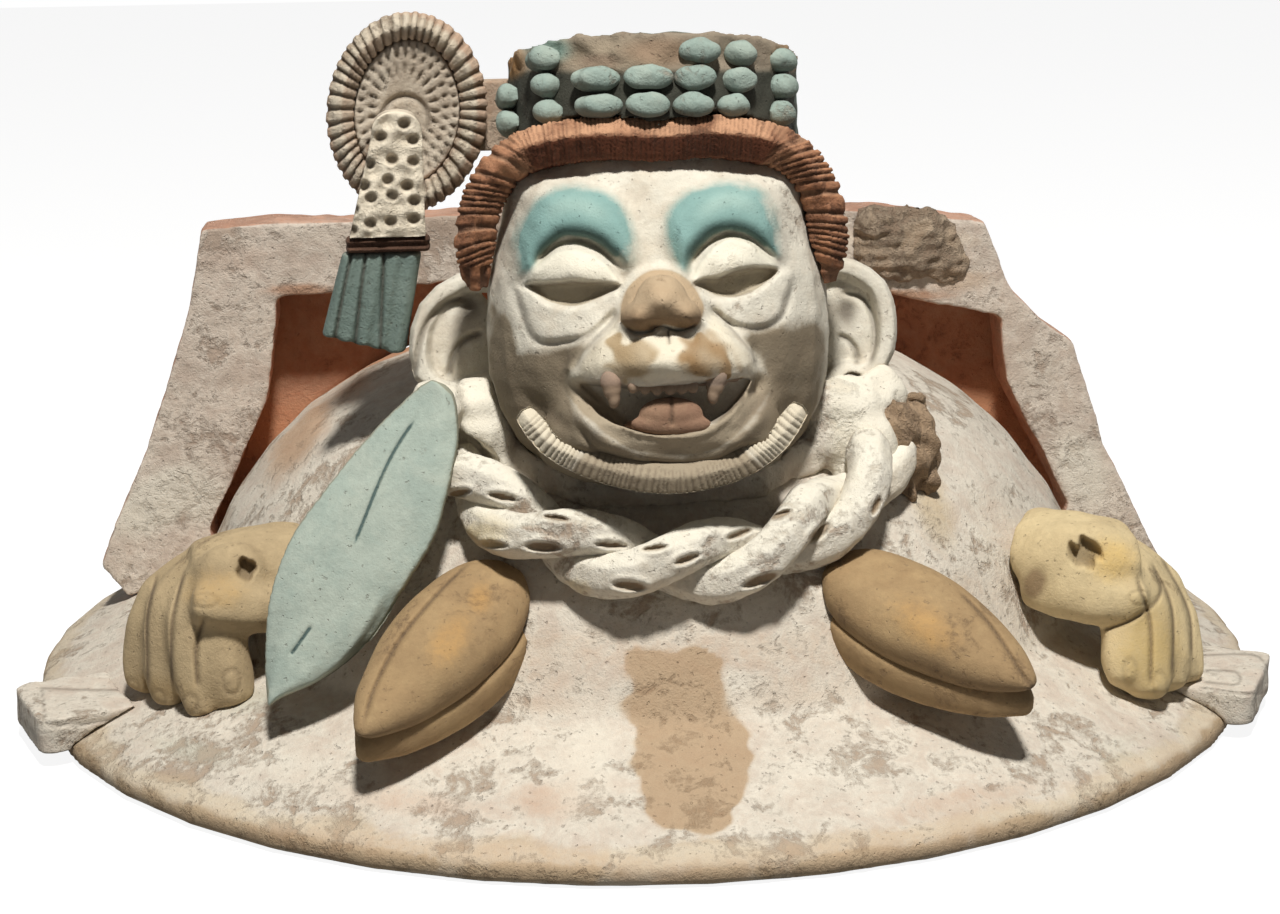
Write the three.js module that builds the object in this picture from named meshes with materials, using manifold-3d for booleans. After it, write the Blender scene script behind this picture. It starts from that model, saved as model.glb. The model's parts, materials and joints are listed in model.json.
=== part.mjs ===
// Ceramic effigy censer lid: a hat-shaped lid with a grinning monkey's head in front of a framed back panel.
// Millimetres, +Z up, front towards -Y. The origin is on the lid's axis, in the plane that the rim rests on.

import * as THREE from 'three';
import { mergeVertices } from 'three/addons/utils/BufferGeometryUtils.js';
import Module from 'manifold-3d';

const wasm = await Module();
wasm.setup();

// Clearance between two pieces of clay that are luted together
const joint = 0.3;

// Lid: flared brim and domed bell
const brimRadius = 215;
const lipThickness = 8.8;
const seatWidth = 16;
const ridgeRadius = 160;
const ridgeHeight = 31.8;
const bellWall = 8;
const shoulderRadius = 118;
const shoulderHeight = 93;
const crownRadius = 80;
const crownHeight = 112;
const crownRise = 4;
const lidFacets = 40;

// The front of the bell's shoulder, which the head and everything round it are set from
const bellFront = -shoulderRadius;

// Chimney behind the head
const chimneyRadius = 30;
const chimneyBore = 21;
const chimneyTop = 203;

// Back panel with its raised frame
const panelFront = 30;
const recessDepth = 23;
const panelWall = 7;
const panelLeft = 154;
const panelRight = 131;
const panelTop = 155;
const windowLeft = 128;
const windowRight = 138;
const windowTop = 129;

// Head: a broad skull, leaning back and turned a little
const headPlace = new THREE.Vector3(-2, bellFront + 26, 150);
const headLean = -15;
const headTurn = -4;
const faceHalfWidth = 54;
const faceDepth = 46;
const napeDepth = 38;
const browToCrown = 66;
const browToChin = 50;
const faceCentreDrop = 14;
const faceSquareness = 2.4;
const muzzleHalfWidth = 34;
const muzzleReach = 62;
const hairLeft = 56;
const hairRight = 52.5;
const hairThickness = 7.8;
const hairTop = 43;
const hairGrooves = 36;

// Headdress band with its pellets
const bandRadius = 46;
const bandTop = 74;
const bandBottom = 44;
const pelletHeight = 8;
const pelletProud = 5;

// Ear ornament at the side of the headdress: fluted ring, dish, pendant and tassel
const ringPlace = new THREE.Vector3(-78.5, bellFront + 49, 205);
const ringHalfWidth = 26;
const ringHalfHeight = 32.5;
const ringThickness = 5;
const ringFlutes = 36;
const ringLean = 7;
const pendantWidth = 24;
const pendantTopWidth = 16;
const tieRadius = 1.5;
const tasselWidth = 25;
const tasselLength = 33;
const tasselFolds = 5;

// Rope round the neck
const ropeRingRadius = 77;
const ropeRingSetback = shoulderRadius - 47;
const strandRadius = 5.8;
const ropePitch = 70;
const ropeAngles = [-66, 66];
const ropeCrest = -2.6;

// Leaf at the left shoulder
const leafLength = 124;
const leafWidth = 41;
const leafThickness = 7;
const leafBow = 3;

// Pods on the breast
const podWidth = 34;
const podHeight = 22;
const huskLip = 3;
const huskDrop = 8;
const podSides = 10;

// Hands and lugs on the brim
const fingerRadius = 7.6;
const thumbRadius = 7;
const lugProudLeft = 9;
const lugProudRight = 7;
const lugWidthLeft = 40;
const lugWidthRight = 45;
const lugLength = 56;
const lugTop = 17.5;
const lugBottom = 5;
const lugCorner = 5;

const clay = {
  slip: new THREE.MeshStandardMaterial({ color: 0xc9bfae, roughness: 0.92, metalness: 0 }),
  panel: new THREE.MeshStandardMaterial({ color: 0xb3a596, roughness: 0.95, metalness: 0 }),
  recess: new THREE.MeshStandardMaterial({ color: 0x9a5f45, roughness: 0.95, metalness: 0 }),
  face: new THREE.MeshStandardMaterial({ color: 0xcfc8b8, roughness: 0.85, metalness: 0 }),
  hair: new THREE.MeshStandardMaterial({ color: 0x7c3f27, roughness: 0.8, metalness: 0 }),
  blue: new THREE.MeshStandardMaterial({ color: 0x6f9a99, roughness: 0.85, metalness: 0 }),
  ochre: new THREE.MeshStandardMaterial({ color: 0xb89a68, roughness: 0.85, metalness: 0 }),
  nose: new THREE.MeshStandardMaterial({ color: 0xa88667, roughness: 0.85, metalness: 0 }),
  tongue: new THREE.MeshStandardMaterial({ color: 0xb07a63, roughness: 0.8, metalness: 0 }),
  bare: new THREE.MeshStandardMaterial({ color: 0x9c7b5f, roughness: 0.95, metalness: 0 }),
  teeth: new THREE.MeshStandardMaterial({ color: 0xd8cdb9, roughness: 0.7, metalness: 0 }),
};

const lid = new THREE.Group();

function add(name, solid, material) {
  const mesh = solid.getMesh();
  const geometry = new THREE.BufferGeometry();
  geometry.setAttribute('position', new THREE.BufferAttribute(new Float32Array(mesh.vertProperties), 3));
  geometry.setIndex(new THREE.BufferAttribute(new Uint32Array(mesh.triVerts), 1));
  geometry.computeBoundingBox();
  const middle = geometry.boundingBox.getCenter(new THREE.Vector3());
  geometry.translate(-middle.x, -middle.y, -middle.z);
  geometry.computeVertexNormals();
  const piece = new THREE.Mesh(geometry, material);
  piece.name = name;
  piece.position.copy(middle);
  lid.add(piece);
}

// A closed geometry becomes a solid, with its faces turned outwards
function toSolid(geometry, matrix = new THREE.Matrix4()) {
  const bare = geometry.clone();
  bare.deleteAttribute('normal');
  bare.deleteAttribute('uv');
  const merged = mergeVertices(bare, 1e-4);
  merged.applyMatrix4(matrix);
  const corners = merged.index.array;
  const place = merged.attributes.position;
  const kept = [];
  let volume = 0;
  const [a, b, c] = [new THREE.Vector3(), new THREE.Vector3(), new THREE.Vector3()];
  for (let i = 0; i < corners.length; i += 3) {
    const [p, q, r] = [corners[i], corners[i + 1], corners[i + 2]];
    if (p === q || q === r || r === p) continue;
    kept.push(p, q, r);
    a.fromBufferAttribute(place, p);
    b.fromBufferAttribute(place, q);
    c.fromBufferAttribute(place, r);
    volume += a.dot(b.cross(c));
  }
  if (volume < 0) kept.reverse();
  const vertProperties = new Float32Array(place.array);
  return new wasm.Manifold(new wasm.Mesh({ numProp: 3, vertProperties, triVerts: new Uint32Array(kept) }));
}

function union(...solids) {
  return solids.reduce((whole, next) => whole.add(next));
}

function cut(solid, ...tools) {
  return tools.reduce((rest, tool) => rest.subtract(tool), solid);
}

const upright = new THREE.Matrix4().makeRotationX(Math.PI / 2);

// A profile of (radius, height) points turned about the vertical axis
function turned(profile, facets) {
  return toSolid(new THREE.LatheGeometry(profile, facets), upright);
}

// An outline in (x, z) given a thickness from front to back
function slab(outline, front, back) {
  const geometry = new THREE.ExtrudeGeometry(outline, {
    depth: back - front,
    bevelEnabled: false,
    curveSegments: 8,
  });
  const matrix = new THREE.Matrix4().makeTranslation(0, back, 0).multiply(upright);
  return toSolid(geometry, matrix);
}

function outlineOf(points) {
  return new THREE.Shape(points.map(([x, z]) => new THREE.Vector2(x, z)));
}

function ellipsoid(place, halfSizes, around = 16, down = 10) {
  const geometry = new THREE.SphereGeometry(1, around, down);
  geometry.scale(...halfSizes);
  return toSolid(geometry, new THREE.Matrix4().makeTranslation(...place));
}

// Rings of points joined into one closed body, capped at both ends or joined end to end
function loft(rings, looped = false) {
  const sides = rings[0].length;
  const points = rings.flat();
  const faces = [];
  const rows = looped ? rings.length : rings.length - 1;
  for (let row = 0; row < rows; row += 1) {
    const above = (row + 1) % rings.length;
    for (let side = 0; side < sides; side += 1) {
      const next = (side + 1) % sides;
      const [a, b] = [row * sides + side, row * sides + next];
      const [c, d] = [above * sides + side, above * sides + next];
      faces.push(a, b, d, a, d, c);
    }
  }
  if (!looped) {
    for (let side = 1; side < sides - 1; side += 1) {
      const last = (rings.length - 1) * sides;
      faces.push(0, side + 1, side, last, last + side, last + side + 1);
    }
  }
  const geometry = new THREE.BufferGeometry().setFromPoints(points);
  geometry.setIndex(faces);
  return geometry;
}

// A section swept along a curve: 'facing' gives the outward direction, 'size' the half sizes [out, across]
function sweep(curve, { steps, sides, facing, size, looped = false }) {
  const rings = [];
  const count = looped ? steps : steps + 1;
  for (let step = 0; step < count; step += 1) {
    const t = step / steps;
    const centre = curve.getPointAt(t);
    const along = curve.getTangentAt(t);
    const out = facing(t, centre).clone();
    out.addScaledVector(along, -out.dot(along)).normalize();
    const across = new THREE.Vector3().crossVectors(along, out);
    const [high, wide] = size(t);
    const ring = [];
    for (let side = 0; side < sides; side += 1) {
      const angle = (2 * Math.PI * side) / sides;
      const point = centre.clone().addScaledVector(out, high * Math.cos(angle));
      ring.push(point.addScaledVector(across, wide * Math.sin(angle)));
    }
    rings.push(ring);
  }
  return loft(rings, looped);
}

function curveThrough(points) {
  return new THREE.CatmullRomCurve3(points.map((p) => new THREE.Vector3(...p)), false, 'centripetal');
}

// A line whose ends are pushed outwards, so that a grown piece grows at its ends as well
function stretched(points, growth) {
  const places = points.map((p) => new THREE.Vector3(...p));
  const last = places.length - 1;
  places[0].add(places[0].clone().sub(places[1]).setLength(growth));
  places[last].add(places[last].clone().sub(places[last - 1]).setLength(growth));
  return places;
}

// A half size that swells from nothing at both ends
function swell(t, fullness) {
  return Math.max(0.02, Math.sin(Math.PI * Math.min(Math.max(t, 0), 1)) ** fullness);
}

// LID

const lipRadius = lipThickness / 2;
const crownTop = crownHeight + crownRise;

function bellCurve() {
  return new THREE.SplineCurve([
    new THREE.Vector2(ridgeRadius, ridgeHeight),
    new THREE.Vector2((ridgeRadius * 2 + shoulderRadius) / 3, (ridgeHeight + shoulderHeight) / 2),
    new THREE.Vector2(shoulderRadius, shoulderHeight),
    new THREE.Vector2(crownRadius, crownHeight),
    new THREE.Vector2(chimneyRadius + 6, crownTop),
  ]);
}

// Points of the bell's outer line, moved outwards along its normal
function bellLine(offset, steps = 8) {
  const curve = bellCurve();
  const line = [];
  for (let step = 0; step <= steps; step += 1) {
    const along = curve.getTangent(step / steps);
    const point = curve.getPoint(step / steps);
    line.push(new THREE.Vector2(point.x + along.y * offset, point.y - along.x * offset));
  }
  return line;
}

function brimLine(offset) {
  const lip = [];
  for (let step = 0; step <= 3; step += 1) {
    const angle = -Math.PI / 2 + (Math.PI * step) / 3;
    const reach = lipRadius + offset;
    const inner = brimRadius - lipRadius;
    lip.push(new THREE.Vector2(inner + reach * Math.cos(angle), lipRadius + reach * Math.sin(angle)));
  }
  return lip;
}

// The lid's filled outer form, grown by a clearance: every applied piece is cut by it
function lidForm(growth) {
  const profile = [new THREE.Vector2(0, -growth), ...brimLine(growth), ...bellLine(growth)];
  profile.push(new THREE.Vector2(0, crownTop + growth));
  return turned(profile, lidFacets);
}

function brim() {
  const along = bellCurve().getTangent(0);
  const foot = new THREE.Vector2(ridgeRadius - along.x * joint, ridgeHeight - along.y * joint);
  const inside = foot.clone().add(new THREE.Vector2(-along.y * bellWall, along.x * bellWall));
  const profile = [new THREE.Vector2(brimRadius - seatWidth, 0), ...brimLine(0), foot, inside];
  profile.push(new THREE.Vector2(inside.x + 3, inside.y - 6), profile[0].clone());
  return turned(profile, lidFacets);
}

function bell() {
  const profile = [...bellLine(0)];
  profile.push(new THREE.Vector2(chimneyBore, crownTop));
  profile.push(new THREE.Vector2(chimneyBore, crownTop - bellWall));
  profile.push(...bellLine(-bellWall, 6).reverse(), profile[0].clone());
  return turned(profile, lidFacets);
}

// The chimney's tube with its rolled rim; filled when it is a cutter
function chimney(growth) {
  const foot = crownTop + joint;
  const top = chimneyTop + growth;
  const inside = growth > 0 ? 0 : chimneyBore;
  const outside = chimneyRadius + growth;
  const profile = [
    [inside, foot], [outside, foot], [outside, chimneyTop - 12], [outside + 2.5, chimneyTop - 6],
    [outside + 1.5, top], [inside, top], [inside, foot],
  ].map(([r, z]) => new THREE.Vector2(r, z));
  return turned(growth > 0 ? profile.slice(0, -1) : profile, 24);
}

const lidCutter = lidForm(joint);
const chimneyCutter = chimney(joint);

add('lid_brim', brim(), clay.slip);
add('lid_bell', bell(), clay.slip);
add('chimney_tube', chimney(0), clay.bare);

// BACK PANEL

// Outer edge from the top left corner down to the leg's foot, and the broken right edge
const leftEdge = [[-panelLeft, panelTop], [-160, 126], [-167, 104], [-178, 75], [-191, 47], [-197, 31]];
const leftFoot = [[-185, 14], [-150, 14]];
const rightEdge = [[panelRight, 150], [windowRight, 135], [142, 124], [153, 113], [166, 104], [170, 92]];
const rightFoot = [[179, 64], [195, 32], [203, 18], [155, 14]];
const leftReveal = [[-156, 44], [-145, 66], [-133, 92], [-windowLeft, 122]];
const rightReveal = [[165, 41], [154, 63], [140, 90], [windowRight, 109]];
const topArch = [[-104, 156], [-40, 158.5], [30, 158], [96, 155]];
const wallDrop = 5;
const sillArch = [[windowRight, 114], [80, 128], [0, 134], [-70, 133], [-windowLeft, windowTop]];

function backWall() {
  const lowered = ([x, z]) => [x, z - wallDrop];
  const corner = lowered(leftEdge[0]);
  const outline = outlineOf([...leftFoot.slice().reverse(), ...leftEdge.slice(1).reverse(), corner,
    ...topArch.map(lowered), lowered(rightEdge[0]), ...rightEdge.slice(1), ...rightFoot]);
  const front = panelFront + recessDepth + joint;
  return slab(outline, front, front + panelWall);
}

function frameBeam() {
  const leftTop = [-windowLeft, panelTop + 2];
  const outline = outlineOf([leftTop, ...topArch, rightEdge[0], rightEdge[1], ...sillArch]);
  return slab(outline, panelFront, panelFront + recessDepth);
}

function frameLegLeft() {
  const shift = ([x, z]) => [x - joint, z];
  const corner = [-windowLeft, panelTop + 2];
  const outline = outlineOf([...leftEdge, ...leftFoot, ...leftReveal.map(shift), shift(corner)]);
  return slab(outline, panelFront, panelFront + recessDepth);
}

function frameLegRight() {
  const shift = ([x, z]) => [x + joint, z];
  const corner = shift([windowRight, 134]);
  const outline = outlineOf([corner, ...rightEdge.slice(2), ...rightFoot, ...rightReveal.map(shift)]);
  return slab(outline, panelFront, panelFront + recessDepth);
}

// Torn clay on the beam where the matching ornament has broken away
function ornamentScar() {
  const lump = union(
    ellipsoid([102, panelFront, 143], [21, 6, 15], 12, 6),
    ellipsoid([90, panelFront, 151], [9, 7, 8], 8, 5),
    ellipsoid([117, panelFront, 136], [9, 4, 9], 8, 5),
  );
  const behind = outlineOf([[60, 100], [150, 100], [150, 180], [60, 180]]);
  return lump.subtract(slab(behind, panelFront - joint, panelFront + recessDepth));
}

add('back_wall', cut(backWall(), lidCutter), clay.recess);
add('frame_beam', cut(frameBeam(), chimneyCutter), clay.panel);
add('frame_leg_left', cut(frameLegLeft(), lidCutter), clay.panel);
add('frame_leg_right', cut(frameLegRight(), lidCutter), clay.panel);
add('ornament_scar', ornamentScar(), clay.bare);

// HEAD, in its own frame: x to the right, -y out of the face, z up

const headMatrix = new THREE.Matrix4().makeTranslation(headPlace).multiply(
  new THREE.Matrix4().makeRotationFromEuler(new THREE.Euler(
    THREE.MathUtils.degToRad(headLean), 0, THREE.MathUtils.degToRad(headTurn), 'ZYX',
  )),
);

function inHead(geometry) {
  return toSolid(geometry, headMatrix);
}

function headEllipsoid(place, halfSizes, around = 16, down = 10) {
  const geometry = new THREE.SphereGeometry(1, around, down);
  geometry.rotateX(Math.PI / 2);
  geometry.scale(...halfSizes);
  geometry.translate(...place);
  return inHead(geometry);
}

// Depth of the face's front at a place on it
function faceFront(x, z) {
  const height = z + faceCentreDrop;
  const tall = height > 0 ? browToCrown : browToChin;
  const across = Math.abs(x / faceHalfWidth) ** faceSquareness;
  const up = Math.abs(height / tall) ** faceSquareness;
  return -faceDepth * Math.max(0, 1 - across - up) ** (1 / faceSquareness);
}

function skull(growth) {
  const geometry = new THREE.SphereGeometry(1, 22, 14);
  geometry.rotateX(Math.PI / 2);
  const place = geometry.attributes.position;
  for (let i = 0; i < place.count; i += 1) {
    const direction = new THREE.Vector3().fromBufferAttribute(place, i);
    const sum = direction.toArray().reduce((total, v) => total + Math.abs(v) ** faceSquareness, 0);
    direction.multiplyScalar(sum ** (-1 / faceSquareness));
    const deep = (direction.y < 0 ? faceDepth : napeDepth) + growth;
    const tall = (direction.z > 0 ? browToCrown : browToChin) + growth;
    direction.multiply(new THREE.Vector3(faceHalfWidth + growth, deep, tall));
    place.setXYZ(i, direction.x, direction.y, direction.z - faceCentreDrop);
  }
  return inHead(geometry);
}

// Muzzle over the mouth, and the jaw with its lower lip
function muzzle(growth) {
  const g = growth;
  const reach = muzzleReach - 36;
  return union(
    headEllipsoid([0, -36, -27], [muzzleHalfWidth - 3 + g, reach + g, 18 + g], 14, 8),
    headEllipsoid([0, -34, -44], [muzzleHalfWidth + 3 + g, reach + g, 15 + g], 14, 8),
    headEllipsoid([0, -26, -49], [muzzleHalfWidth + 5 + g, reach - 1 + g, 14.5 + g], 14, 8),
  );
}

// The open mouth: corners high, a nearly straight upper lip and a deep lower one
function mouthHollow(growth) {
  const g = growth;
  const outline = new THREE.Shape();
  outline.moveTo(-26 + g, -31 - g / 2);
  outline.quadraticCurveTo(0, -36 - g, 27 - g, -30 - g / 2);
  outline.quadraticCurveTo(20 - g, -46 + g, 0, -47.5 + g);
  outline.quadraticCurveTo(-20 + g, -46 + g, -26 + g, -31 - g / 2);
  const geometry = new THREE.ExtrudeGeometry(outline, { depth: 40, bevelEnabled: false, curveSegments: 5 });
  geometry.rotateX(Math.PI / 2);
  geometry.translate(0, -44 - g, 0);
  return inHead(geometry);
}

function headForm(growth) {
  const form = union(skull(growth), muzzle(growth));
  return cut(form, mouthHollow(growth * 1.5));
}

const slitHalf = 10.5;

// A slit across the closed eye
function eyeSlit(x, tilt) {
  const outline = new THREE.Shape();
  outline.moveTo(-slitHalf, 0);
  outline.quadraticCurveTo(0, 2.4, slitHalf, 0);
  outline.quadraticCurveTo(0, -9, -slitHalf, 0);
  const geometry = new THREE.ExtrudeGeometry(outline, { depth: 20, bevelEnabled: false, curveSegments: 4 });
  geometry.rotateX(Math.PI / 2);
  geometry.rotateY(tilt);
  geometry.translate(x, -43.4, -2.5);
  return inHead(geometry);
}

function eyelid(x) {
  return headEllipsoid([x, -40, 0], [13, 8, 8.5], 10, 6);
}

// Arched brow over each eye
function brow(x, growth = 0) {
  const arch = [[-16, 5], [-14, 14], [-5, 19], [6, 18.5], [14, 12], [16, 6]];
  const points = arch.map(([dx, z]) => [x + dx, faceFront(x + dx, z) - 0.5, z]);
  return inHead(sweep(curveThrough(points), {
    steps: 12,
    sides: 6,
    facing: () => new THREE.Vector3(0, -1, 0),
    size: (t) => [4.5 * swell(t * 0.9 + 0.05, 0.4) + growth, 6 * swell(t * 0.9 + 0.05, 0.5) + growth],
  }));
}

function nose(growth = 0) {
  return union(
    headEllipsoid([0, -54, -9], [8.5 + growth, 12 + growth, 9 + growth], 8, 6),
    headEllipsoid([-6.5, -54, -13], [6 + growth, 9 + growth, 5.5 + growth], 7, 5),
    headEllipsoid([6.5, -54, -13], [6 + growth, 9 + growth, 5.5 + growth], 7, 5),
  );
}

// Thick grooved roll of hair, in an arch over the forehead and down both temples; smooth when it is a cutter
function hairRoll(growth) {
  const grooved = growth === 0;
  const steps = grooved ? hairGrooves * 2 : 30;
  const temple = (side) => [
    [side * 0.34, -33, hairTop], [side * 0.75, -28, hairTop - 4], [side * 0.94, -22, hairTop - 15],
    [side, -18, hairTop - 29], [side, -14, hairTop - 43],
  ];
  const points = [...temple(-hairLeft).reverse(), [0, -34, hairTop - 1], ...temple(hairRight)];
  return inHead(sweep(curveThrough(points), {
    steps,
    sides: 6,
    facing: () => new THREE.Vector3(0, -1, 0),
    size: (t) => {
      const groove = grooved && Math.round(t * steps) % 2 === 1 ? 0.9 : 0;
      const end = Math.min(1, 0.55 + 6 * Math.min(t, 1 - t));
      return [(hairThickness + 2.5 - groove) * end + growth, (hairThickness - groove) * end + growth];
    },
  }));
}

// Fringe of beard along the jaw
function beard() {
  const line = [[-41, -40], [-34, -48.5], [-18, -56.5], [0, -60], [20, -57], [33, -49.5], [41, -40]];
  const depth = (x) => -52 + 0.009 * x * x;
  const points = line.map(([x, z]) => [x, depth(x), z]);
  return inHead(sweep(curveThrough(points), {
    steps: 16,
    sides: 6,
    facing: () => new THREE.Vector3(0, -1, 0),
    size: (t) => [5 * swell(t * 0.9 + 0.05, 0.25), 4.2 * swell(t * 0.9 + 0.05, 0.25)],
  }));
}

// Upper teeth: a gum bar, incisors and two fangs
function upperTeeth() {
  const line = [[-21, -46, -33], [-10, -53, -34], [0, -55, -34.5], [10, -53, -34], [21, -46, -32.5]];
  const gum = curveThrough(line);
  const solids = [inHead(sweep(gum, {
    steps: 4,
    sides: 5,
    facing: () => new THREE.Vector3(0, -1, 0),
    size: () => [3, 2.6],
  }))];
  for (let tooth = 0; tooth < 6; tooth += 1) {
    const x = (tooth - 2.5) * 4.6;
    solids.push(headEllipsoid([x, -56 + 0.02 * x * x, -36], [2.1, 1.8, 3.2], 5, 4));
  }
  for (const side of [-1, 1]) {
    const fang = new THREE.ConeGeometry(3.2, 12, 5);
    fang.rotateX(-Math.PI / 2);
    fang.translate(side * 17, -51, -36.5);
    solids.push(inHead(fang));
  }
  return union(...solids);
}

function tongue() {
  return headEllipsoid([0, -47, -46.5], [14, 9.5, 5.5], 12, 7);
}

const earDepth = 14;
const lobeRight = [62, -31];

function earLobe(growth) {
  const reach = 8.5 + growth;
  return headEllipsoid([lobeRight[0], earDepth - 1, lobeRight[1]], [reach, reach - 2.5, reach], 10, 7);
}

// Ear: a rim bent round a shallow shell, with a drilled lobe on the side that keeps it
function ear(rim, shellPlace, lobe) {
  const depth = earDepth;
  const points = rim.map(([x, z]) => [x, depth, z]);
  const middle = new THREE.Vector3(shellPlace[0], depth, shellPlace[1]);
  const solids = [
    inHead(sweep(curveThrough(points), {
      steps: 11,
      sides: 6,
      facing: (t, point) => point.clone().sub(middle),
      size: () => [3.4, 4.6],
    })),
    headEllipsoid([shellPlace[0] * 0.95, depth + 3, shellPlace[1]], [13, 3.4, 17], 10, 6),
  ];
  if (lobe) solids.push(earLobe(0));
  return union(...solids);
}

function lobeHole(lobe, radius) {
  const drill = new THREE.CylinderGeometry(radius, radius, 30, 10);
  drill.translate(lobe[0], 8, lobe[1]);
  return inHead(drill);
}

const earRimRight = [[48, 6], [60, 7.5], [71, 1], [74, -10], [72, -22], [67, -27]];
const earRimLeft = [[-48, 4], [-62, 4.5], [-73, -4], [-76, -15], [-74, -26], [-66, -31], [-50, -26]];

const headCutter = headForm(joint);
const browCutters = [brow(-25, joint), brow(19, joint)];

add('head_skull', cut(headForm(0), eyeSlit(-27, 0), eyeSlit(22, 0.15), lidCutter), clay.face);
add('brow_left', cut(brow(-25), headCutter), clay.blue);
add('brow_right', cut(brow(19), headCutter), clay.blue);
add('eyelid_left', cut(eyelid(-27), headCutter, browCutters[0], eyeSlit(-27, 0)), clay.face);
add('eyelid_right', cut(eyelid(22), headCutter, browCutters[1], eyeSlit(22, 0.15)), clay.face);
add('nose', cut(nose(), headCutter), clay.nose);
add('hair_roll', cut(hairRoll(0), headCutter), clay.hair);
add('beard_fringe', cut(beard(), headCutter), clay.face);
add('upper_teeth', cut(upperTeeth(), headCutter), clay.teeth);
add('tongue', cut(tongue(), headCutter), clay.tongue);

// HEADDRESS BAND, a drum on the crown of the head with rows of pellets round its front

const bandSetback = 4;

function band(growth) {
  const drum = new THREE.CylinderGeometry(bandRadius + growth, bandRadius + growth, bandTop - bandBottom, 28);
  drum.rotateX(Math.PI / 2);
  drum.translate(0, bandSetback, (bandTop + bandBottom) / 2);
  return inHead(drum);
}

// Each pellet: its angle round the band from the front, and its width along it
const pelletRows = [
  { row: 'upper', height: 68.4, pellets: [[-46, 14], [17, 12.5], [34, 11], [57, 12]] },
  {
    row: 'middle',
    height: 60.2,
    pellets: [[-74, 14], [-45, 11], [-23, 16], [-3, 14.5], [15, 13], [33, 12], [57, 12]],
  },
  {
    row: 'lower',
    height: 52,
    pellets: [[-74, 14], [-44, 11], [-22, 15.5], [-3, 13], [14, 12], [30, 11], [56, 12]],
  },
];

function pellet(angle, width, height) {
  const geometry = new THREE.SphereGeometry(1, 7, 4);
  geometry.scale(width / 2, pelletProud + 1, pelletHeight / 2);
  geometry.translate(0, -bandRadius + 1, height);
  geometry.rotateZ(THREE.MathUtils.degToRad(angle));
  geometry.translate(0, bandSetback, 0);
  return inHead(geometry);
}

const hairCutter = hairRoll(joint * 1.6);
const bandCutter = band(joint);

add('headdress_band', cut(band(0), headCutter, hairCutter, chimneyCutter), clay.blue);
for (const { row, height, pellets } of pelletRows) {
  pellets.forEach(([angle, width], index) => {
    const solid = cut(pellet(angle, width, height), bandCutter, hairCutter);
    add(`pellet_${row}_${index + 1}`, solid, clay.blue);
  });
}

// EAR ORNAMENT: a fluted oval ring round a dished face, a pendant over it, a double tie and a tassel

const frontwards = new THREE.Vector3(0, -1, 0);
const ringMatrix = new THREE.Matrix4().makeTranslation(ringPlace).multiply(
  new THREE.Matrix4().makeRotationY(THREE.MathUtils.degToRad(ringLean)),
);

function ringOval() {
  const points = [];
  for (let step = 0; step < 24; step += 1) {
    const angle = (2 * Math.PI * step) / 24;
    const wide = ringHalfWidth - ringThickness;
    const high = ringHalfHeight - ringThickness;
    points.push(new THREE.Vector3(wide * Math.sin(angle), 0, high * Math.cos(angle)));
  }
  return new THREE.CatmullRomCurve3(points, true, 'centripetal');
}

// The fluted ring; smooth when it is a cutter
function ornamentRing(growth) {
  const fluted = growth === 0;
  const steps = fluted ? ringFlutes * 2 : 36;
  const geometry = sweep(ringOval(), {
    steps,
    sides: 5,
    looped: true,
    facing: () => frontwards,
    size: (t) => {
      const flute = fluted && Math.round(t * steps) % 2 === 1 ? 1 : 0;
      return [ringThickness + 1 - flute + growth, ringThickness - flute * 0.6 + growth];
    },
  });
  return toSolid(geometry, ringMatrix);
}

// The dished face inside the ring
function ornamentFace(growth) {
  const dish = new THREE.LatheGeometry([
    [0, 1.5 - growth], [0.35, 0.5 - growth], [0.9, -1.5 - growth], [0.9, 3.5], [0.4, 5.5], [0, 5.5],
  ].map(([r, y]) => new THREE.Vector2(r, y)), 18);
  dish.scale(ringHalfWidth - ringThickness / 2, 1, ringHalfHeight - ringThickness / 2);
  return toSolid(dish, ringMatrix);
}

// The block behind the ring that joins its face to the headdress
function ornamentBlock() {
  const block = new THREE.BoxGeometry(46, 8, 22);
  block.translate(ringPlace.x + 22, ringPlace.y + 8, ringPlace.z - 2);
  return toSolid(block);
}

const pendantTop = [-82, 206.5];
const pendantFoot = [-86, 167];

// The broad strip that hangs over the face, in front of the ring
function pendant() {
  const half = pendantWidth / 2;
  const narrow = pendantTopWidth / 2;
  const [x, z] = pendantTop;
  const outline = new THREE.Shape();
  outline.moveTo(pendantFoot[0] - half, pendantFoot[1]);
  outline.lineTo(pendantFoot[0] + half, pendantFoot[1]);
  outline.lineTo(x + narrow, z - narrow);
  outline.quadraticCurveTo(x + narrow, z, x, z);
  outline.quadraticCurveTo(x - narrow, z, x - narrow, z - narrow);
  const front = ringPlace.y - ringThickness - 5;
  return slab(outline, front, ringPlace.y);
}

const tieHalf = tieRadius * 1.67;
const tieMiddle = pendantFoot[1] - joint - tieHalf;

// Two rolls of clay bound across the foot of the pendant
function tie() {
  const solids = [-1, 1].map((side) => {
    const roll = new THREE.CapsuleGeometry(tieRadius, pendantWidth, 3, 6);
    roll.rotateZ(Math.PI / 2);
    roll.scale(1, 3.6, 1);
    roll.translate(pendantFoot[0], ringPlace.y - 4, tieMiddle + side * tieRadius * 0.8);
    return toSolid(roll);
  });
  return union(...solids);
}

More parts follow.
